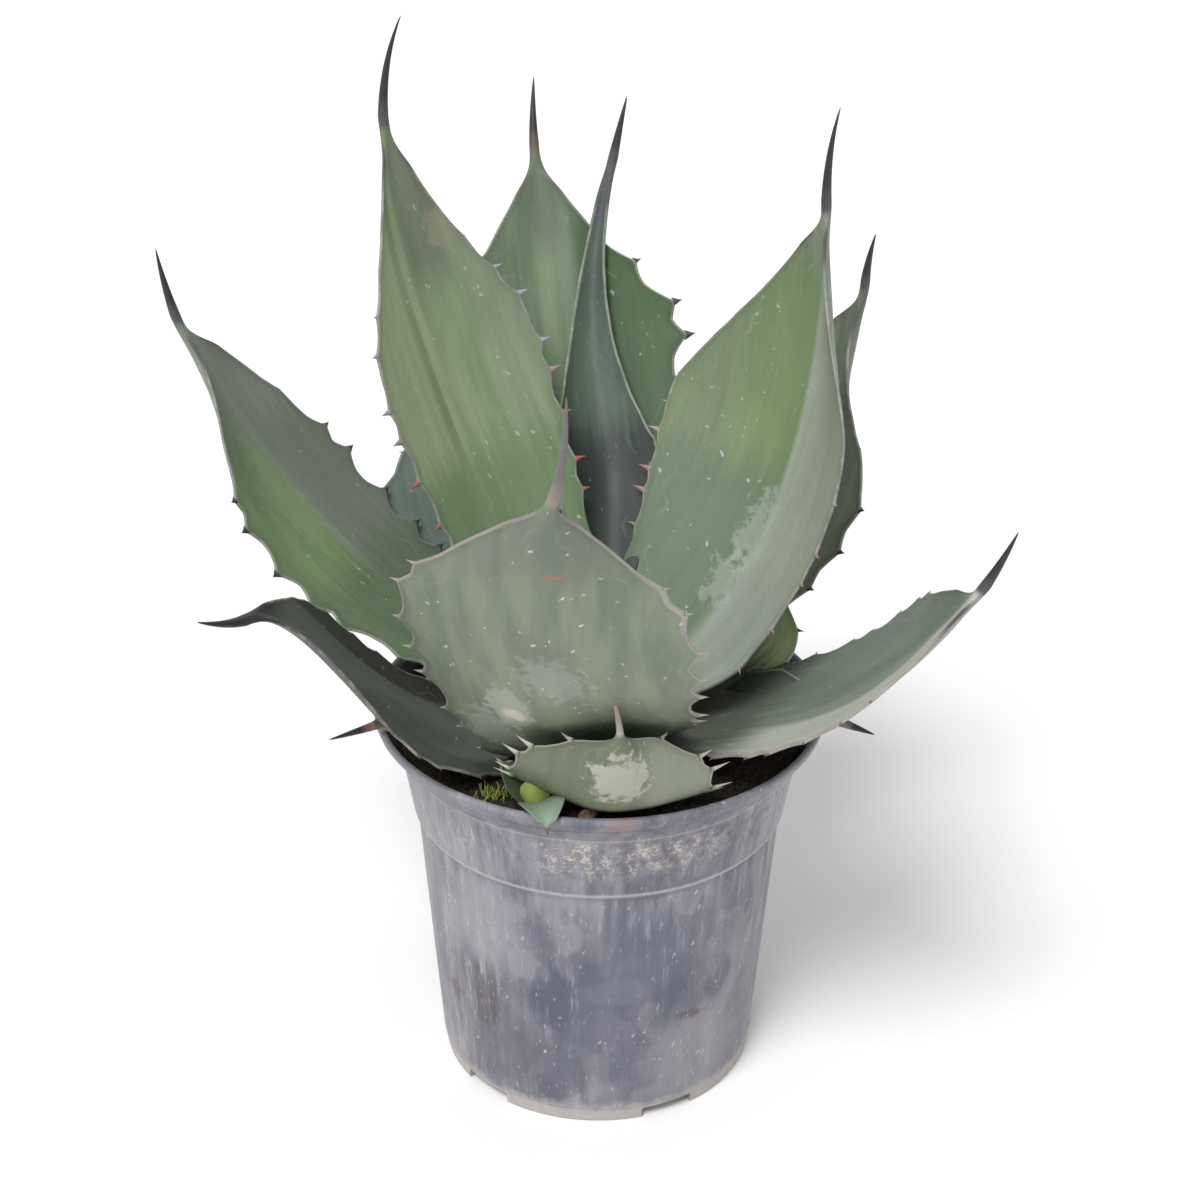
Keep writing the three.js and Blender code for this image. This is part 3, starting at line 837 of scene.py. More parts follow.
        def place(vert: bmesh.types.BMVert, i: int, j: int) -> None:
            """Moves a grid vertex to its place on the leaf.

            Args:
                vert: The vertex.
                i: Its column round the leaf.
                j: Its row along it.
            """
            spot, along, horn = rings[j][i]
            vert.co = spot.point
            values = (spot.side, along, spot.edge, spot.under, horn, tag)
            for name, value in zip(names, values):
                vert[layers[name]] = value

        tube(bm, around, len(rings) - 1, place)
        for centre in self.tooth_places():
            for hand in (1, -1):
                self.build_tooth(bm, layers, centre, hand)

    def rings(self) -> list[list[tuple[Spot, float, float]]]:
        """Lays out all rings of the leaf: a closing point, the blade, the spine and its tip.

        Returns:
            The rings, each a list of points with their place along the leaf and their share of horn.
        """
        leaf, sizes = self.leaf, self.sizes
        circle = self.circle_angles()
        thick = sizes.neck * leaf.plump
        rings = []
        for j in range(self.rows + 1):
            t = j / self.rows
            section = self.section(t)
            round_off = smooth(t, 0.90, 1.0)
            if round_off:
                point, _, side, face = self.frame_at(t)
                middle = point - face * thick
                radius = thick + sizes.spine_tip
                for i, angle in enumerate(circle):
                    drawn = middle + side * (math.cos(angle) * radius) + face * (math.sin(angle) * radius)
                    old = section[i]
                    section[i] = Spot(old.point.lerp(drawn, round_off), old.side,
                                      mix(old.edge, 3.0, round_off), old.under)
            tip, creep = smooth(t, 0.965, 1.0), smooth(t, 0.84, 0.99)
            rings.append([(spot, t * leaf.length, max(
                tip * 0.4, creep * 0.6 * (1 - smooth(spot.edge, 0.3, 2.2 * creep + 0.4))))
                for spot in section])
        foot = sum((spot.point for spot, _, _ in rings[0]), Vector()) / len(rings[0])
        rings.insert(0, [(Spot(foot, 0.0, 20.0, 0.5), 0.0, 0.0)] * len(circle))

        length, turn, lift = leaf.spine
        length *= sizes.spine_share
        point, _, side, face = self.frame_at(1.0)
        heading, pitch, _ = self.angles(1.0)
        middle = point - face * thick
        for k in range(1, sizes.spine_rows + 1):
            t = k / sizes.spine_rows
            ahead = t + sizes.spine_lead
            along = self.tangent(heading + math.radians(turn) * ahead,
                                 pitch + math.radians(lift) * ahead)
            middle = middle + along * (length / sizes.spine_rows)
            radius = 0.0 if k == sizes.spine_rows else (
                thick * (1 - t) ** sizes.spine_taper + sizes.spine_tip)
            horn = 0.4 + 0.6 * smooth(t, 0.0, 0.4)
            rings.append([(Spot(middle + side * (math.cos(a) * radius) + face * (math.sin(a) * radius),
                                0.0, 3.0, 0.5), leaf.length + t * length, horn) for a in circle])
        return rings

    def build_tooth(self, bm: bmesh.types.BMesh, layers: dict, centre: float, hand: int) -> None:
        """Adds one hooked tooth, flattened with the blade and rooted in its margin.

        Args:
            bm: The mesh to add to.
            layers: The mesh's named numbers.
            centre: Where the tooth stands, as a share of the leaf's length.
            hand: 1 for the left margin, -1 for the right one.
        """
        tooth = self.tooth
        grown = self.bite_at(centre)
        _, along, side, face = self.frame_at(centre)
        section = self.section(centre)
        root = section[0 if hand > 0 else self.columns].point
        under = section[-4 if hand > 0 else self.columns + 4].point
        middle = root.lerp(under, 0.5)
        angle = self.folded(math.radians(through(self.leaf.fold, centre)), 1.0)[2]
        outward = side * (hand * math.cos(angle)) + face * math.sin(angle)
        normal = face * math.cos(angle) - side * (hand * math.sin(angle))
        height = tooth.height * grown - self.margin_at(centre) + tooth.rooted
        hook = mix(-tooth.hook, tooth.hook, centre)
        uneven = 1 + 0.14 * math.sin(centre * 97 + hand)

        def place(vert: bmesh.types.BMVert, i: int, j: int) -> None:
            """Moves a grid vertex to its place on the tooth.

            Args:
                vert: The vertex.
                i: Its column round the tooth.
                j: Its row along it.
            """
            s = j / tooth.rows
            turn = math.tau * i / tooth.around
            slim = (1 - s) ** 1.25
            long = tooth.half * grown * slim * (0 if j == tooth.rows else 1)
            thick = tooth.thick * grown**0.5 * (1 - s) * (0 if j == tooth.rows else 1)
            vert.co = (middle + outward * (height * s * uneven - tooth.rooted) + along * (hook * s * s)
                       + along * (math.cos(turn) * long) + normal * (math.sin(turn) * thick))
            vert[layers["edge"]] = 3.0
            vert[layers["along"]] = centre * self.leaf.length
            vert[layers["under"]] = 0.5
            vert[layers["horn"]] = smooth(s, 0.05, 0.5)

        tube(bm, tooth.around, tooth.rows, place)


def painted_foot_shade(end: float, colour: Colour, strength: float, soft: float = 1.5) -> Strip:
    """Painted shade on a leaf's foot, where the leaves crowd together, right across it and as far along it as
    end.
    """
    return Strip(-70, 70, -20, end, colour, strength, soft)


# Each leaf's values stand in the order of Leaf's fields: its place on the stem (side, out, up), its
# length and greatest width, its heading, pitch, roll and fold from the foot to the neck, its outline
# (widest, foot, taper, draw), its spine's length, turn and lift, and its teeth.
LEAVES = (
    Leaf("leaf_tall_left", 150, 22, 205, 250, 88, (140, 147, 148), (65, 65, 86), (-19, -14),
         (18, 20, 32), 0.58, 0.56, 1.31, 1.58, (48, 4, 25), 9, bare=0.72, wave=0.55,
         look=LeafLook(
             green=(0.235, 0.300, 0.175), deep=(0.175, 0.238, 0.130), streak=0.2,
             tooth_low=(0.34, 0.12, 0.095), tooth_high=(0.33, 0.33, 0.43),
             strips=(Strip(4, 9, 60, 235, (0.33, 0.38, 0.25), 0.5),
                     Strip(13, 60, 90, 225, (0.31, 0.36, 0.22), 0.6),
                     Strip(9, 14, 100, 230, (0.150, 0.200, 0.115), 0.5),
                     Strip(-16, 3, 175, 250, (0.112, 0.130, 0.095), 0.7, 4.0),
                     Strip(-60, -20, 90, 230, (0.205, 0.245, 0.175), 0.6, 6.0),
                     painted_foot_shade(95, (0.135, 0.205, 0.105), 0.75, 6.0)),
             marks=(Mark(196, -16, (9, 8, 1.8), (0.30, 0.25, 0.19), Face.UPPER, 0.4),))),
    Leaf("leaf_tall_right", 10, 22, 192, 239, 130, (6, 47, 62), (45, 65, 101), (26, -45),
         (24, 32, 33), 0.57, 0.6, 1.54, 1.68, (42, -9, -32), 9, bare=0.5, wave=0.3,
         look=LeafLook(
             green=(0.182, 0.250, 0.122), deep=(0.160, 0.224, 0.110), bloom=(0.33, 0.37, 0.33),
             bloom_left=0.05, bloom_right=0.45, speck=0.7, tooth_low=(0.32, 0.20, 0.20),
             tooth_high=(0.40, 0.40, 0.48),
             strips=(Strip(-70, -2, -20, 260, (0.335, 0.360, 0.300), 0.8, 0.8),
                     Strip(-3.5, -0.5, 90, 230, (0.33, 0.36, 0.31), 0.5, 0.8),
                     Strip(-14, 60, 212, 260, (0.260, 0.275, 0.255), 0.6, 6.0),
                     Strip(34, 60, 90, 225, (0.180, 0.205, 0.160), 0.4, 12.0),
                     # Painted shade: the left half is darkened from the foot to about mid-length.
                     Strip(-2, 60, -20, 112, (0.125, 0.170, 0.115), 0.75, 4.0),
                     Strip(-60, 0, -20, 70, (0.290, 0.320, 0.285), 0.7, 4.0)),
             marks=(Mark(84, 2, (18, 8, 3.2), (0.36, 0.40, 0.36), Face.UPPER, 0.5),
                    Mark(58, 4, (14, 8, 3.2), (0.38, 0.42, 0.37), Face.UPPER, 0.45)))),
    Leaf("leaf_centre_spear", 90, 14, 208, 227, 58, (83, 96, 50), (48, 54, 72), (13, 14),
         (26, 41, 25), 0.4, 0.1, 0.9, 2.03, (29, -2, -1), 7, 0.9, bare=0.42, wave=0.3,
         look=LeafLook(
             green=(0.098, 0.140, 0.104), deep=(0.066, 0.096, 0.076), bloom=(0.17, 0.205, 0.18),
             margin=(0.19, 0.26, 0.18), streak=0.1, speck=0.2, tooth_low=(0.24, 0.16, 0.17),
             tooth_high=(0.10, 0.10, 0.12),
             strips=(painted_foot_shade(98, (0.024, 0.030, 0.030), 0.92),
                     Strip(-9, 9, 188, 240, (0.100, 0.100, 0.120), 0.6, 3.0)))),
    Leaf("leaf_back_centre", 96, 18, 193, 247, 116, (101, 104, 101), (43, 57, 63), (-6, -5),
         (17, 17, 26), 0.63, 0.3, 1.41, 1.77, (32, -14, 2), 8, 1.3, bare=0.9, wave=1.3,
         look=LeafLook(
             green=(0.155, 0.212, 0.128), deep=(0.118, 0.172, 0.105), bloom_left=0.35, bloom_right=0.05,
             tooth_low=(0.09, 0.08, 0.09), horn_foot=(0.16, 0.12, 0.09),
             strips=(Strip(-3, 4, 60, 205, (0.25, 0.31, 0.17), 0.3, 2.0),
                     Strip(-80, -14, -20, 215, (0.046, 0.100, 0.034), 0.85, 3.0),
                     Strip(-10, 6, 200, 250, (0.11, 0.13, 0.10), 0.7, 6.0)))),
    Leaf("leaf_upper_left", 166, 24, 190, 246, 90, (167, 155, 179), (15, 39, 73), (-2, 3),
         (22, 4, 45), 0.58, 0.52, 1.9, 1.45, (32, 1, 8), 8, 1.25, bare=0.7, wave=1.2,
         look=LeafLook(
             green=(0.165, 0.250, 0.115), deep=(0.130, 0.200, 0.095), bloom=(0.25, 0.29, 0.26),
             bloom_left=0.05, bloom_right=0.3, tooth_low=(0.05, 0.045, 0.05),
             strips=(Strip(-70, -2, -20, 260, (0.148, 0.168, 0.138), 0.85, 2.6),
                     Strip(-70, 20, 185, 260, (0.210, 0.220, 0.195), 0.6, 4.0),
                     Strip(-6, -1, 60, 235, (0.25, 0.29, 0.25), 0.3, 2.0),
                     Strip(-0.3, 1.5, 158, 182, (0.50, 0.48, 0.44), 0.75, 0.6, Across.MARGIN, 1),
                     painted_foot_shade(105, (0.085, 0.125, 0.072), 0.7, 4.0)),
             marks=(Mark(150, 8, (30, 12, 2.6), (0.22, 0.28, 0.17), Face.UPPER, 0.4),))),
    Leaf("leaf_mid_left", 134, 24, 184, 196, 94, (130, 108, 100), (13, 30, 41), (0, 0),
         (22, 21, 35), 0.55, 0.52, 1.54, 1.9, (27, -1, -5), 5, bare=0.7,
         look=LeafLook(
             green=(0.160, 0.205, 0.170), deep=(0.120, 0.165, 0.135), bloom_left=0.4, bloom_right=0.4)),
    Leaf("leaf_right_back", 55, 24, 187, 229, 130, (48, 47, 28), (26, 37, 89), (4, -15),
         (20, 18, 54), 0.55, 0.53, 1.59, 1.74, (24, -3, -14), 6, bare=0.62,
         look=LeafLook(
             green=(0.150, 0.180, 0.125), deep=(0.105, 0.135, 0.090), tooth_low=(0.05, 0.045, 0.05),
             under_green=(0.12, 0.145, 0.10), under_deep=(0.08, 0.10, 0.07),
             strips=(Strip(8, 60, 110, 240, (0.20, 0.225, 0.180), 0.7, 2.0),
                     Strip(-60, 60, 40, 130, (0.225, 0.265, 0.180), 0.6, 6.0)))),
    Leaf("leaf_front_shield", 264, 25, 176, 259, 117, (272, 256, 301), (26, 55, 62), (17, -15),
         (4, 8, 22), 0.62, 0.6, 1.87, 1.79, (43, -6, 24), 8, bare=0.92,
         look=LeafLook(
             under_green=(0.228, 0.268, 0.180), under_deep=(0.162, 0.198, 0.144),
             bloom=(0.31, 0.34, 0.29), bloom_left=0.25, bloom_right=0.2, speck=1.3, streak=0.1,
             margin=(0.36, 0.30, 0.28), tooth_low=(0.40, 0.35, 0.31), tooth_high=(0.34, 0.28, 0.25),
             horn=(0.150, 0.140, 0.135), horn_foot=(0.30, 0.25, 0.23),
             strips=(Strip(-45, 45, 208, 250, (0.150, 0.178, 0.145), 0.6, 8.0, face=Face.UNDER),
                     # Painted shade: the under face is darkened near the foot on its left half, which shows
                     # on the right.
                     Strip(0, 60, -20, 110, (0.150, 0.175, 0.120), 0.6, 9.0, face=Face.UNDER),
                     Strip(0.2, 1.9, 168, 198, (0.52, 0.50, 0.45), 0.65, 0.8, Across.MARGIN, 1, Face.UNDER)),
             marks=(Mark(209, 6, (1.5, 3.6, 1.6), (0.36, 0.17, 0.11), Face.UNDER, 0.8),
                    Mark(70, -34, (26, 12, 2.4), (0.36, 0.39, 0.33), Face.UNDER, 0.55),
                    Mark(100, -22, (20, 10, 1.6), (0.42, 0.44, 0.38), Face.UNDER, 0.65),
                    Mark(95, -21, (6, 5, 1.2), (0.62, 0.57, 0.50), Face.UNDER, 0.9),
                    Mark(132, 2, (18, 15, 2.6), (0.36, 0.39, 0.36), Face.UNDER, 0.4)))),
    Leaf("leaf_low_right_back", 38, 27, 179, 95, 86, (38, 47, 63), (16, 21, 13), (2, 9),
         (22, 10, 36), 0.53, 0.52, 1.57, 1.66, (35, 26, -7), 3, bare=0.8, wave=0.5,
         look=LeafLook(
             # Painted light: the greens are made lighter, and the bright yellow-green strip lights the right
             # half and midrib, though the leaf sits in shade.
             green=(0.26, 0.33, 0.18), deep=(0.17, 0.22, 0.12),
             strips=(Strip(-60, 2, 40, 110, (0.55, 0.68, 0.34), 0.9, 3.0),
                     painted_foot_shade(42, (0.055, 0.062, 0.050), 0.85, 4.0)))),
    Leaf("leaf_lower_right", 340, 27, 181, 191, 104, (328, 328, 342), (13, 35, 62), (2, 9),
         (14, 6, 18), 0.61, 0.53, 1.88, 1.5, (29, -3, 7), 8, 0.7, bare=0.85,
         look=LeafLook(
             green=(0.215, 0.250, 0.195), deep=(0.150, 0.182, 0.146), bloom_left=0.2, bloom_right=0.3,
             margin=(0.32, 0.27, 0.24), tooth_low=(0.20, 0.15, 0.13), tooth_high=(0.12, 0.09, 0.08),
             under_green=(0.105, 0.130, 0.098), under_deep=(0.065, 0.085, 0.066),
             strips=(Strip(-0.5, 29.0, 70, 200, (0.47, 0.48, 0.42), 0.85, 4.0, Across.MARGIN, -1),
                     Strip(-0.5, 6.0, 40, 200, (0.52, 0.50, 0.44), 0.6, 2.0, Across.MARGIN, -1),
                     Strip(-0.5, 30.0, 80, 240, (0.36, 0.37, 0.33), 0.8, 2.0, Across.MARGIN, -1, Face.UNDER),
                     # Painted shade: the left half is darkened inside the leaf's channel.
                     Strip(2, 60, 20, 180, (0.115, 0.150, 0.115), 0.6, 3.0),
                     painted_foot_shade(62, (0.075, 0.080, 0.066), 0.75, 6.0)))),
    Leaf("leaf_lower_left", 210, 27, 175, 228, 71, (212, 229, 259), (-1, 49, 19), (-12, -44),
         (24, 4, 30), 0.52, 0.56, 1.62, 2.23, (44, -10, 10), 7, 0.6, bare=0.6,
         look=LeafLook(
             # Painted shade: the skin colours are darkened for the shade cast by the leaf above, and the far
             # right half is painted darker still.
             green=(0.105, 0.118, 0.105), deep=(0.076, 0.088, 0.078),
             under_green=(0.050, 0.058, 0.048), under_deep=(0.026, 0.031, 0.027),
             bloom=(0.11, 0.13, 0.115), bloom_left=0.1, bloom_right=0.1, margin=(0.14, 0.13, 0.12),
             horn=(0.022, 0.020, 0.022), horn_foot=(0.045, 0.038, 0.040),
             strips=(Strip(-60, -17, -20, 215, (0.024, 0.020, 0.016), 0.88, 1.6),
                     Strip(-60, 60, 195, 260, (0.030, 0.026, 0.026), 0.85, 3.0)))),
    Leaf("leaf_front_small", 275, 33, 173, 123, 89, (270, 275, 296), (-5, 33, 103), (1, -16),
         (20, 20, 62), 0.59, 0.52, 2.07, 1.09, (19, 17, 13), 7, 1.3, 0.6, bare=1.1, wave=0.4, reach=0.93,
         look=LeafLook(
             under_green=(0.170, 0.195, 0.128), under_deep=(0.130, 0.155, 0.098), bloom=(0.30, 0.32, 0.27),
             margin=(0.40, 0.36, 0.30), tooth_low=(0.48, 0.44, 0.38), tooth_high=(0.48, 0.44, 0.38),
             horn=(0.26, 0.23, 0.22), horn_foot=(0.36, 0.33, 0.30),
             strips=(Strip(14, 60, 60, 120, (0.33, 0.35, 0.29), 0.55, 5.0, face=Face.UNDER),),
             marks=(Mark(97, 1, (15, 12, 2.8), (0.54, 0.53, 0.46), Face.UNDER, 0.6),))),
    Leaf("leaf_low_left", 200, 28, 167, 85, 42, (200, 201, 204), (18, 23, -8), (0, -39),
         (22, 21, 24), 0.55, 0.52, 1.71, 1.58, (20, 8, 8), 3, 0.6, 0.8, bare=0.9,
         look=LeafLook(
             # Painted shade: the greens are darkened, where this leaf lies under the leaf above it.
             green=(0.11, 0.12, 0.09), deep=(0.07, 0.08, 0.06), horn_foot=(0.36, 0.17, 0.15),
             tooth_low=(0.34, 0.22, 0.20), tooth_high=(0.34, 0.22, 0.20))),
    Leaf("leaf_low_right", 338, 28, 170, 93, 49, (336, 342, 352), (12, 24, -18), (0, 34),
         (22, 21, 24), 0.55, 0.52, 1.75, 1.46, (13, -7, 3), 3, 0.6, 0.8, bare=0.9,
         look=LeafLook(
             # Painted shade: the greens are darkened, where this leaf lies under the leaf above it.
             green=(0.085, 0.10, 0.078), deep=(0.055, 0.07, 0.055), horn_foot=(0.30, 0.22, 0.20),
             tooth_low=(0.28, 0.22, 0.20), tooth_high=(0.28, 0.22, 0.20))),
    Leaf("leaf_low_back", 93, 27, 176, 136, 70, (93, 90, 88), (8, 22, 36), (0, -4),
         (22, 18, 40), 0.55, 0.5, 1.6, 1.7, (22, -4, 8), 4),
    Leaf("leaf_low_back_left", 148, 27, 175, 122, 58, (148, 147, 145), (8, 24, 34), (0, 6),
         (22, 18, 40), 0.55, 0.5, 1.6, 1.7, (22, 4, 10), 3),
)


@dataclass
class Rosette:
    """The plant's sixteen leaves."""

    leaves: tuple[Leaf, ...] = LEAVES
    columns: int = 28
    row_step: float = 1.35

    def build(self) -> None:
        """Builds and dresses every leaf."""
        for order, leaf in enumerate(self.leaves):
            bm = bmesh.new()
            Blade(leaf, Vector(), self.columns, self.row_step).build(bm)
            skin = leaf.look.dress(leaf.name, order + 1.0, leaf.length)
            piece(bm, leaf.name.replace("leaf", "blade"), skin, leaf.name)


@dataclass
class Offset:
    """The young offset at the front of the pot: four small leaves on a short stub."""

    at: Triple = (-26.8, -80.5, 178.8)
    stub_radius: float = 4.6
    stub_head: float = 3.2
    stub_foot: float = 169.0
    stub_top: float = 181.5
    leaves: tuple[tuple[Leaf, float], ...] = (
        (Leaf("pup_left", 155, 1.5, -1, 23, 14, (155, 158, 160), (56, 50, 44), (-20, -30), (10, 16, 30),
              0.5, 0.6, 1.8, 1.3, (4, 0, 0), plump=0.34), 2.0),
        (Leaf("pup_heart", 262, 3, 1, 14, 13, (262, 262, 262), (70, 84, 96), (0, 0), (12, 24, 40),
              0.5, 0.6, 1.8, 1.3, (4, 0, 0), plump=0.34), 1.0),
        (Leaf("pup_long", 284, 2, -1, 29, 20, (284, 282, 280), (56, 18, -68), (10, 4), (12, 16, 26),
              0.52, 0.5, 1.8, 1.3, (4, 0, 0), plump=0.34), 0.0),
        (Leaf("pup_right", 330, 1.5, -1, 15, 10, (330, 328, 325), (50, 40, 34), (0, 0), (14, 20, 36),
              0.5, 0.6, 1.8, 1.3, (4, 0, 0), plump=0.34), 0.4),
    )
    look: LeafLook = field(default_factory=lambda: LeafLook(
        green=(0.29, 0.37, 0.28), deep=(0.22, 0.31, 0.22), under_green=(0.24, 0.31, 0.25),
        under_deep=(0.18, 0.25, 0.20), bloom=(0.33, 0.40, 0.34), streak=0.2, speck=0.2,
        margin=(0.30, 0.36, 0.24), tooth_low=(0.3, 0.25, 0.15), tooth_high=(0.3, 0.25, 0.15),
        horn=(0.14, 0.09, 0.06), horn_foot=(0.25, 0.28, 0.16), young=(0.46, 0.60, 0.13)))

    def build(self) -> None:
        """Builds and dresses the offset."""
        bm = bmesh.new()
        centre = Vector(self.at)
        for leaf, tag in self.leaves:
            Blade(leaf, centre, 14, 0.6).build(bm, tag)
        along = bm.verts.layers.float["along"]
        stub = [(0, self.stub_foot), (self.stub_radius - 1.5, self.stub_foot),
                (self.stub_radius, self.stub_foot + 3), (self.stub_radius, self.stub_top - 3),
                (self.stub_head, self.stub_top), (0, self.stub_top)]
        before = set(bm.verts)
        turned(bm, stub, 24)
        for vert in set(bm.verts) - before:
            vert.co += Vector((centre.x, centre.y, 0))
            vert[along] = 30.0
            vert[bm.verts.layers.float["edge"]] = 5.0
        piece(bm, "offset_plantlet", self.look.dress("offset", 23.0, 29.0), "pup")


# ---------------------------------------------------------------- pot


@dataclass(frozen=True)
class Patch:
    """A soft-edged patch on the pot's front, by its middle and half sizes across and up."""

    x: float
    z: float
    half_x: float
    half_z: float
    colour: Colour
    strength: float = 0.6
    ragged: float = 1.4


@dataclass(frozen=True)
class WeatheredPlastic:
    """Dark nursery plastic, gone grey-blue, dusted and streaked with lime; its flanks are paler, partly from
    painted light, and the inner wall above the soil carries painted shade.
    """

    clean: Colour = (0.118, 0.122, 0.158)
    faded: Colour = (0.215, 0.210, 0.250)
    dust_and_side_light: Colour = (0.400, 0.385, 0.400)
    lime: Colour = (0.620, 0.610, 0.600)
    crust: Colour = (0.330, 0.280, 0.225)
    blue: Colour = (0.120, 0.130, 0.175)
    soil_brown: Colour = (0.120, 0.085, 0.075)
    rim_stain: Colour = (0.330, 0.225, 0.215)
    seam_worn: Colour = (0.56, 0.51, 0.53)
    lip_worn: Colour = (0.48, 0.46, 0.47)
    foot_dust: Colour = (0.47, 0.43, 0.41)
    shaded: Colour = (0.045, 0.042, 0.042)
    seam_up: float = 133.4
    lip_up: float = 166.2
    mouth: float = 98.6  # radius within which the wall faces the soil
    patches: tuple[Patch, ...] = (
        Patch(-19, 72, 11, 20, (0.082, 0.090, 0.128), 0.8, 0.9),
        Patch(23, 102, 18, 27, (0.130, 0.138, 0.188), 0.8, 0.9),
        Patch(37, 66, 15, 17, (0.100, 0.108, 0.148), 0.65, 0.9),
        Patch(-2, 66, 18, 22, (0.105, 0.112, 0.155), 0.65),
        Patch(-46, 31, 24, 20, (0.125, 0.122, 0.145), 0.7),
        Patch(8, 36, 34, 12, (0.125, 0.130, 0.165), 0.4),
        Patch(-53, 64, 12, 20, (0.100, 0.090, 0.100), 0.8, 0.9),
        Patch(-50, 108, 20, 24, (0.370, 0.352, 0.385), 0.55, 0.8),
        Patch(10, 78, 16, 7, (0.260, 0.265, 0.305), 0.25, 1.2),
        Patch(44, 32, 22, 26, (0.330, 0.320, 0.345), 0.55, 0.8),
        Patch(44, 57, 7, 3, (0.120, 0.070, 0.065), 0.6, 3.4),
        Patch(-64, 54, 4, 4, (0.120, 0.080, 0.075), 0.55, 2.4),
    )

    def dress(self) -> bpy.types.Material:
        """Builds the material.

        Returns:
            The material.
        """
        paint = Paint("weathered_pot", specular=0.32)
        x, y, z = paint.where()
        spot = paint.vector(x, y, z)
        run = paint.vector(x, y, z * 0.10)
        drip = paint.noise(run, 0.16, 5, 0.62)
        thin = paint.noise(run, 0.75, 3, 0.6)
        cloud = paint.noise(spot, 0.026, 5, 0.6)
        torn = paint.noise(spot, 0.10, 4, 0.65)
        patch = paint.noise(spot, 0.16, 5, 0.7)
        grit = paint.noise(spot, 0.9, 3)
        collar = z.ramp(131.0, 137.0)
        lip = z.ramp(165.0, 167.5)
        # Masks for the left and right flanks as seen from the front; the paler tone that they add is partly
        # dusting and partly painted light, where light falls on the flanks.
        left = (0.0 - x).ramp(34.0, 84.0)
        right = x.ramp(50.0, 86.0)
        front = (0.0 - y).ramp(10.0, 40.0)

        skin = paint.mix((cloud * 0.7 + drip * 0.4).ramp(0.36, 0.68), self.clean, self.faded)
        clouds = ((0.036, 0.0, self.blue), (0.05, 90.0, self.dust_and_side_light), (0.04, 170.0, self.clean))
        for scale, shift, shade in clouds:
            area = paint.noise(paint.vector(x + shift, y, z * 0.6), scale, 2, 0.4)
            area = (area + (torn - 0.5) * 0.10 + (patch - 0.5) * 0.05).ramp(0.51, 0.59)
            skin = paint.mix(area * (1 - collar * 0.5) * 0.32, skin, shade)
        for mark in self.patches:
            reach = (((x - mark.x) / mark.half_x) ** 2.0 + ((z - mark.z) / mark.half_z) ** 2.0) ** 0.5
            reach = reach + (torn - 0.5) * mark.ragged + (drip - 0.5) * 1.1 + (thin - 0.5) * 0.5
            skin = paint.mix(reach.ramp(1.25, 0.55) * front * mark.strength, skin, mark.colour)
        # Dusting over the body, heavier on the collar, near the bottom and on the flanks; the share on the
        # flanks is partly painted light.
        dust_and_side_light_amount = (drip - 0.5) * 1.2 + (thin - 0.5) * 0.6 + 0.02 + collar * 0.26 + left * 0.55
        dust_and_side_light_amount = dust_and_side_light_amount + right * 0.50 + z.ramp(40.0, 14.0) * 0.15 + (cloud - 0.5) * 0.5
        skin = paint.mix(dust_and_side_light_amount.ramp(0.05, 0.95) * 0.85 * (1 - lip * 0.35), skin, self.dust_and_side_light)
        # Lime streaking, heavier on the left flank, where the extra paleness is partly painted light.
        lime_streaks_and_side_light = (drip * 0.6 + thin * 0.6).ramp(0.68, 0.80) * (0.16 + left * 0.5) * (1 - lip * 0.8)
        skin = paint.mix(lime_streaks_and_side_light, skin, self.lime)
        dark_runs = (thin * 0.8 + drip * 0.3).ramp(0.46, 0.36) * collar * (1 - lip) * 0.45
        skin = paint.mix(dark_runs, skin, self.clean)
        under_lip = z.ramp(139.0, 154.0) * z.ramp(166.0, 163.5)
        crusty = patch.ramp(0.47, 0.58) * front * under_lip * (x + 34.0).ramp(0.0, 16.0) * (
            62.0 - x).ramp(0.0, 22.0)
        skin = paint.mix(crusty * 0.75, skin, paint.mix(grit.ramp(0.4, 0.6), self.crust, self.lime))
        dark_crust = patch.ramp(0.47, 0.40) * front * under_lip * (x + 6.0).ramp(0.0, 14.0)
        skin = paint.mix(dark_crust * 0.5, skin, self.soil_brown)

        seam = abs(z - self.seam_up).ramp(2.3, 0.5)
        skin = paint.mix(seam * (0.25 + thin * 0.8), skin, self.seam_worn)
        lip_line = abs(z - self.lip_up).ramp(0.9, 0.1) * front
        skin = paint.mix(lip_line * (0.10 + drip * 0.6), skin, self.lip_worn)
        under_seam = z.ramp(133.0, 128.0) * z.ramp(108.0, 130.0) * drip.ramp(0.4, 0.65)
        skin = paint.mix(under_seam * 0.45, skin, self.dust_and_side_light)
        jog = (grit - 0.5) * 5.0
        jogged = paint.vector(x + jog, y, z * 0.7 + jog)
        flecks = paint.cells(jogged, 0.19).ramp(0.17, 0.08) * paint.noise(spot, 0.09, 1).ramp(0.46, 0.58)
        fine = paint.cells(paint.vector(x + jog * 0.5, y, z * 0.32), 0.42).ramp(0.22, 0.10)
        fine = fine * paint.noise(spot, 0.12, 1).ramp(0.40, 0.56)
        skin = paint.mix((flecks * 0.75 + fine * thin.ramp(0.35, 0.6) * 0.45).least(1.0), skin, self.lime)
        brown = paint.noise(spot, 0.11, 4, 0.7).ramp(0.62, 0.72) * z.ramp(70.0, 30.0)
        skin = paint.mix(brown * 0.35, skin, self.soil_brown)
        stain = (((x - 9.0) / 7.0) ** 2.0 + ((y + 101.0) / 9.0) ** 2.0) ** 0.5 + (torn - 0.5) * 1.6
        skin = paint.mix(stain.ramp(1.2, 0.6) * z.ramp(170.0, 176.0) * 0.55, skin, self.rim_stain)
        foot = (z + (torn - 0.5) * 14.0).ramp(13.0, 5.0) * (0.55 + patch * 0.8)
        skin = paint.mix(foot.least(1.0) * 0.85, skin, self.foot_dust)
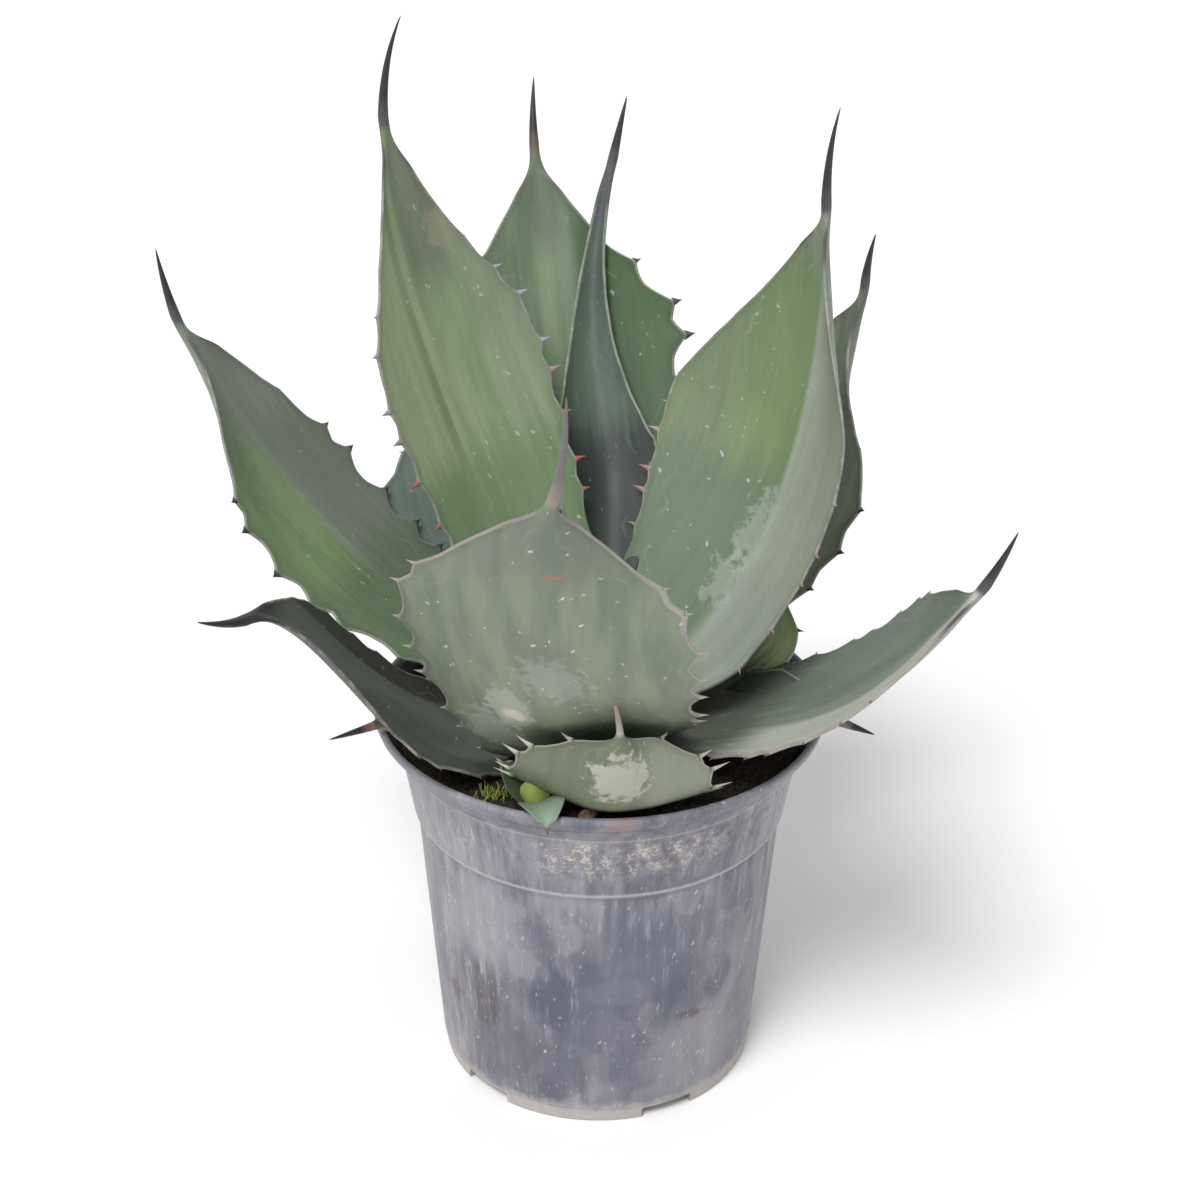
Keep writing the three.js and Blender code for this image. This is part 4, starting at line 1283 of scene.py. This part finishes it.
        # Painted shade on the inner wall of the rim, above the soil.
        inside = ((x * x + y * y) ** 0.5 - self.mouth).ramp(0.3, -0.3) * z.ramp(174.0, 177.0)
        skin = paint.mix(inside * 0.75, skin, self.shaded)
        rough = 0.60 + (grit - 0.5) * 0.2 + (cloud - 0.5) * 0.2 + dust_and_side_light_amount.ramp(0.1, 1.0) * 0.14
        relief = grit * 0.25 + drip * 0.35 + flecks * 0.5 + crusty * 0.8 + thin * 0.2 + foot * patch
        return paint.finish(skin, rough, relief, 0.35)


@dataclass
class NurseryPot:
    """The round nursery pot: flared lip, smooth collar, stepped wall, five feet and drain holes."""

    height: float = 184.0
    rim_radius: float = 102.5
    lip_inner: float = 99.7
    lip_foot: tuple[float, float] = (91.3, 165.7)
    collar_foot: tuple[float, float] = (85.6, 133.8)
    step: float = 1.7
    base_radius: float = 74.1
    base_up: float = 8.2
    wall: float = 2.1
    floor_under: float = 6.0
    floor_top: float = 8.6
    feet: int = 5
    notch_angle: float = 20.0
    notch_up: float = 5.7
    first_notch: float = 297.0
    foot_width: float = 7.0
    drain_radius: float = 6.0
    drain_at: float = 56.0
    pad_radius: float = 17.0
    steps: int = 180
    corner: float = 0.35  # bevel of the sharp rings, and the least angle that counts as sharp
    sharp_angle: float = 28.0
    smooth_angle: float = 35.0
    finish: WeatheredPlastic = field(default_factory=WeatheredPlastic)

    def profile(self) -> list[tuple[float, float]]:
        """Draws the pot's section.

        Returns:
            Its points by radius and height, from the middle of the underside over the lip to the floor.
        """
        wall, base = self.wall, self.base_radius
        lip_r, lip_z = self.lip_foot
        collar_r, collar_z = self.collar_foot
        flare = [(lip_r + 0.5, lip_z + 1.6), (lip_r + 1.6, lip_z + 3.1), (lip_r + 3.4, lip_z + 5.0)]
        inner_flare = [(r - wall + 0.3, z + 0.6) for r, z in reversed(flare)]
        inner_foot = base - wall
        return [
            (0, 0), (self.pad_radius, 0), (self.pad_radius + 1.5, self.floor_under),
            (base - self.foot_width, self.floor_under), (base - self.foot_width + 0.8, 0),
            (base - 2, 0), (base - 1.3, 1), (base - 1, self.base_up - 0.8), (base, self.base_up),
            (collar_r - self.step, collar_z - self.step), (collar_r, collar_z), (lip_r, lip_z), *flare,
            (self.rim_radius - 0.8, self.height - 4), (self.rim_radius, self.height - 1.8),
            (self.rim_radius - 0.3, self.height - 0.5), (self.rim_radius - 1.1, self.height),
            (self.lip_inner + 0.4, self.height), (self.lip_inner - 0.3, self.height - 1), *inner_flare,
            (lip_r - wall, lip_z), (collar_r - self.step - wall, collar_z),
            (inner_foot, self.floor_top + 1), (inner_foot - 1, self.floor_top), (0, self.floor_top)]

    def cutters(self) -> bpy.types.Object:
        """Makes the tool that cuts the gaps between the feet and the drain holes.

        Returns:
            One object with all the cutting bodies, to be removed after the cut.
        """
        bm = bmesh.new()
        for k in range(self.feet):
            turn = Matrix.Rotation(math.radians(self.first_notch + k * 360 / self.feet), 4, "Z")
            width = 2 * self.base_radius * math.sin(math.radians(self.notch_angle / 2))
            size = Matrix.Diagonal((3 * self.foot_width, width, 2 * self.notch_up, 1))
            box = bmesh.ops.create_cube(bm, size=1, matrix=turn @ Matrix.Translation(
                (self.base_radius, 0, 0)) @ size)["verts"]
            edges = list({edge for vert in box for edge in vert.link_edges})
            bmesh.ops.bevel(bm, geom=edges, offset=1.2, segments=3, profile=0.5, affect="EDGES",
                            material=-1)
            bmesh.ops.create_cone(bm, cap_ends=True, segments=40, radius1=self.drain_radius,
                                  radius2=self.drain_radius, depth=3 * self.floor_top,
                                  matrix=turn @ Matrix.Translation((self.drain_at, 0, 0)))
        bmesh.ops.transform(bm, matrix=Matrix.Scale(MILLIMETRE, 4), verts=bm.verts)
        mesh = bpy.data.meshes.new("pot_cutters")
        bm.to_mesh(mesh)
        bm.free()
        tool = bpy.data.objects.new("pot_cutters", mesh)
        bpy.context.collection.objects.link(tool)
        return tool

    def build(self) -> None:
        """Spins the pot, rounds its corners, cuts the gaps between its feet and dresses it."""
        bm = bmesh.new()
        turned(bm, self.profile(), self.steps)
        bmesh.ops.recalc_face_normals(bm, faces=bm.faces)
        sharp = [edge for edge in bm.edges if len(edge.link_faces) == 2
                 and edge.calc_face_angle(0) > math.radians(self.sharp_angle)
                 and abs(edge.verts[0].co.z - edge.verts[1].co.z) < 0.01]
        bmesh.ops.bevel(bm, geom=sharp, offset=self.corner, segments=2, profile=0.5, affect="EDGES",
                        material=-1, clamp_overlap=True)
        pot = piece(bm, "nursery_pot", self.finish.dress(), "pot")
        tool = self.cutters()
        cut = pot.modifiers.new("feet", "BOOLEAN")
        cut.operation, cut.solver, cut.object = "DIFFERENCE", "EXACT", tool
        whole = pot.evaluated_get(bpy.context.evaluated_depsgraph_get())
        mesh = bpy.data.meshes.new_from_object(whole)
        pot.modifiers.clear()
        pot.data = mesh
        mesh.set_sharp_from_angle(angle=math.radians(self.smooth_angle))
        bpy.data.objects.remove(tool)


# ---------------------------------------------------------------- soil, stem, pebble and moss


@dataclass
class PottingSoil:
    """Dark potting mix with loose crumbs on top."""

    top: float = 177.6
    lump: float = 1.2
    waves: Triple = (7.3, 8.9, 11.7)
    bed: float = 8.9
    edge: float = 94.6
    hole: float = 22.0
    hole_foot: float = 142.0
    crumbs: int = 420
    wall: tuple[tuple[float, float], ...] = ((81.2, 133.8), (88.6, 165.7), (91.2, 170.3))
    bed_radius: float = 70.2
    bed_edge: tuple[float, float] = (71.8, 1.5)
    rings: int = 44
    steps: int = 120

    def height(self, x: float, y: float) -> float:
        """Shapes the surface with the same waves as the CAD soil, and finer grains.

        Args:
            x: Distance to the right of the pot's axis.
            y: Distance behind it.

        Returns:
            The height there.
        """
        across, back, slant = self.waves
        lumps = math.sin(x / across) * math.cos(y / back) + 0.6 * math.sin((x + 2 * y) / slant)
        grain = noise.noise(Vector((x / 3.1, y / 3.1, 4.0))) * 0.9
        return self.top + self.lump * lumps + grain

    def finish(self) -> bpy.types.Material:
        """Mixes near-black peat with pale mineral grains.

        Returns:
            The material.
        """
        paint = Paint("potting_soil", specular=0.2)
        spot = paint.vector(*paint.where())
        grain = paint.noise(spot, 0.5, 5, 0.7)
        skin = paint.mix(grain.ramp(0.35, 0.7), (0.012, 0.010, 0.008), (0.060, 0.046, 0.034))
        pale = paint.cells(spot, 0.35).ramp(0.2, 0.1) * paint.noise(spot, 0.1, 1).ramp(0.5, 0.62)
        skin = paint.mix(pale * 0.7, skin, (0.26, 0.23, 0.19))
        return paint.finish(skin, 0.95, grain, 1.2)

    def build(self) -> None:
        """Builds and dresses the soil."""
        bm = bmesh.new()
        rings = [(mix(self.edge, self.hole, k / self.rings), self.top) for k in range(self.rings + 1)]
        edge_radius, edge_rise = self.bed_edge
        profile = [(0, self.bed), (self.bed_radius, self.bed), (edge_radius, self.bed + edge_rise),
                   *self.wall, *rings, (self.hole, self.hole_foot), (0, self.hole_foot)]
        turned(bm, profile, self.steps)
        for vert in bm.verts:
            if abs(vert.co.z - self.top) < 1e-4:
                vert.co.z = self.height(vert.co.x, vert.co.y)
        chance = random.Random(11)
        for _ in range(self.crumbs):
            reach = mix(26, 90.5, chance.random() ** 0.5)
            turn = chance.uniform(0, math.tau)
            x, y = reach * math.cos(turn), reach * math.sin(turn)
            size = chance.uniform(0.6, 2.0)
            shape = Matrix.Translation((x, y, self.height(x, y) + size * 0.2)) @ Matrix.Rotation(
                chance.uniform(0, 3), 4, (0.3, 0.5, 0.8)) @ Matrix.Diagonal(
                (size, size * chance.uniform(0.5, 1), size * chance.uniform(0.4, 0.8), 1))
            bmesh.ops.create_icosphere(bm, subdivisions=1, radius=1, matrix=shape)
        piece(bm, "potting_mix", self.finish(), "soil")


@dataclass
class Stem:
    """The short stem, mostly hidden between the leaf feet: the CAD node in its own finish."""

    node: str = "stem"

    def dress(self) -> None:
        """Gives the node the dull pale green of the leaf feet that wrap it."""
        paint = Paint("stem_skin", specular=0.3)
        x, y, z = paint.where()
        ring = paint.noise(paint.vector(x * 0.1, y * 0.1, z), 0.35, 4)
        skin = paint.mix(ring.ramp(0.35, 0.65), (0.095, 0.125, 0.070), (0.165, 0.215, 0.115))
        skin = paint.mix(z.ramp(190.0, 172.0), skin, (0.10, 0.085, 0.055))
        finish = paint.finish(skin, 0.8, ring, 0.6)
        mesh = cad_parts[self.node].data
        mesh.materials.clear()
        mesh.materials.append(finish)
        log.info("%s: CAD node dressed", self.node)


@dataclass
class Pebble:
    """A small reddish pebble on the soil by the rim."""

    radius: float = 4.0
    stretch: float = 1.12
    squash: float = 0.78
    turn: float = 0.5
    at: Triple = (-4.6, -90.4, 179.4)

    def build(self) -> None:
        """Builds and dresses the pebble."""
        bm = bmesh.new()
        bmesh.ops.create_icosphere(bm, subdivisions=4, radius=1)
        for vert in bm.verts:
            x, y, z = vert.co
            knob = 1 + 0.06 * math.sin(3 * x + 2 * z) + 0.05 * math.cos(4 * y)
            rough = 1 + 0.05 * noise.noise(vert.co * 2.6)
            vert.co = vert.co * (self.radius * knob * rough * 0.98)
        shape = Matrix.Translation(self.at) @ Matrix.Rotation(self.turn, 4, "Z") @ Matrix.Diagonal(
            (self.stretch, self.squash, self.squash, 1))
        bmesh.ops.transform(bm, matrix=shape, verts=bm.verts)
        paint = Paint("pebble_stone", specular=0.3)
        spot = paint.vector(*paint.where())
        grain = paint.noise(spot, 0.5, 4, 0.7)
        skin = paint.mix(grain.ramp(0.35, 0.65), (0.13, 0.055, 0.035), (0.33, 0.19, 0.13))
        piece(bm, "brown_pebble", paint.finish(skin, 0.8, grain, 0.4), "pebble")


@dataclass
class MossTuft:
    """A tuft of yellow-green moss in the corner between the rim and the offset."""

    at: Triple = (-46.5, -73.5, 176.4)
    spread: tuple[float, float] = (8.0, 5.0)
    shoots: int = 60
    height: float = 7.0

    def build(self) -> None:
        """Builds and dresses the tuft."""
        bm = bmesh.new()
        chance = random.Random(5)
        for _ in range(self.shoots):
            foot = Vector(self.at) + Vector((chance.gauss(0, 0.45) * self.spread[0],
                                             chance.gauss(0, 0.45) * self.spread[1], 0))
            lean = Vector((chance.uniform(-0.6, 0.6), chance.uniform(-0.6, 0.6), 1)).normalized()
            tall = self.height * chance.uniform(0.5, 1.0)
            shape = Matrix.Translation(foot + lean * tall / 2) @ lean.to_track_quat("Z", "Y").to_matrix(
            ).to_4x4()
            bmesh.ops.create_cone(bm, cap_ends=True, segments=5, radius1=0.8, radius2=0.12, depth=tall,
                                  matrix=shape)
        paint = Paint("moss", specular=0.2)
        spot = paint.vector(*paint.where())
        tone = paint.noise(spot, 0.5, 2)
        skin = paint.mix(tone.ramp(0.35, 0.65), (0.07, 0.10, 0.02), (0.26, 0.30, 0.06))
        piece(bm, "moss_tuft", paint.finish(skin, 0.8), None)


# ---------------------------------------------------------------- studio


@dataclass
class Studio:
    """A pale floor, a soft key from the upper left, a bright sky and the camera."""

    aim: Triple = (-0.0003, 0.0, 0.23466)
    elevation: float = 27.9
    distance: float = 1.140
    roll: float = 0.5
    lens: float = 76.8
    sensor: float = 36.0
    reach: tuple[float, float] = (0.01, 50.0)
    floor_half: float = 6.0
    floor_grey: float = 0.90
    sky: float = 0.62
    key: float = 2.4
    key_from: Triple = (-0.31, -0.68, 1.05)
    key_angle: float = 24.0

    def build(self) -> None:
        """Sets up the floor, the lights and the camera."""
        bm = bmesh.new()
        bmesh.ops.create_grid(bm, x_segments=1, y_segments=1, size=self.floor_half)
        mesh = bpy.data.meshes.new("floor")
        bm.to_mesh(mesh)
        bm.free()
        floor = bpy.data.objects.new("floor", mesh)
        bpy.context.collection.objects.link(floor)
        paint = Paint("pale_floor", specular=0.0)
        paint.feed(paint.shader.inputs["Base Color"], (self.floor_grey,) * 3)
        paint.shader.inputs["Roughness"].default_value = 1.0
        mesh.materials.append(paint.material)

        world = bpy.data.worlds.new("sky")
        bpy.context.scene.world = world
        world.use_nodes = True
        backdrop = world.node_tree.nodes["Background"]
        backdrop.inputs[0].default_value = (1, 1, 1, 1)
        backdrop.inputs[1].default_value = self.sky

        lamp = bpy.data.lights.new("key", "SUN")
        lamp.energy = self.key
        lamp.angle = math.radians(self.key_angle)
        key = bpy.data.objects.new("key", lamp)
        key.rotation_euler = Vector(self.key_from).to_track_quat("Z", "Y").to_euler()
        bpy.context.collection.objects.link(key)

        lens = bpy.data.cameras.new("camera")
        lens.lens, lens.sensor_width = self.lens, self.sensor
        lens.clip_start, lens.clip_end = self.reach
        camera = bpy.data.objects.new("camera", lens)
        rise = math.radians(self.elevation)
        back = Vector((0, -math.cos(rise), math.sin(rise)))
        right = Vector((1, 0, 0))
        up = back.cross(right)
        turn = math.radians(self.roll)
        across = right * math.cos(turn) + up * math.sin(turn)
        over = back.cross(across)
        spot = Vector(self.aim) + back * self.distance
        camera.matrix_world = Matrix((across, over, back)).transposed().to_4x4()
        camera.location = spot
        bpy.context.collection.objects.link(camera)
        bpy.context.scene.camera = camera
        bpy.context.scene.view_settings.view_transform = "Standard"
        log.info("studio: floor, key light, sky and camera")


def main() -> None:
    """Builds every piece in order."""
    logging.basicConfig(level=logging.INFO, format="%(name)s: %(message)s")
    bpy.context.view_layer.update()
    NurseryPot().build()
    PottingSoil().build()
    Stem().dress()
    Rosette().build()
    Offset().build()
    Pebble().build()
    MossTuft().build()
    Studio().build()


if __name__ == "__main__":
    main()
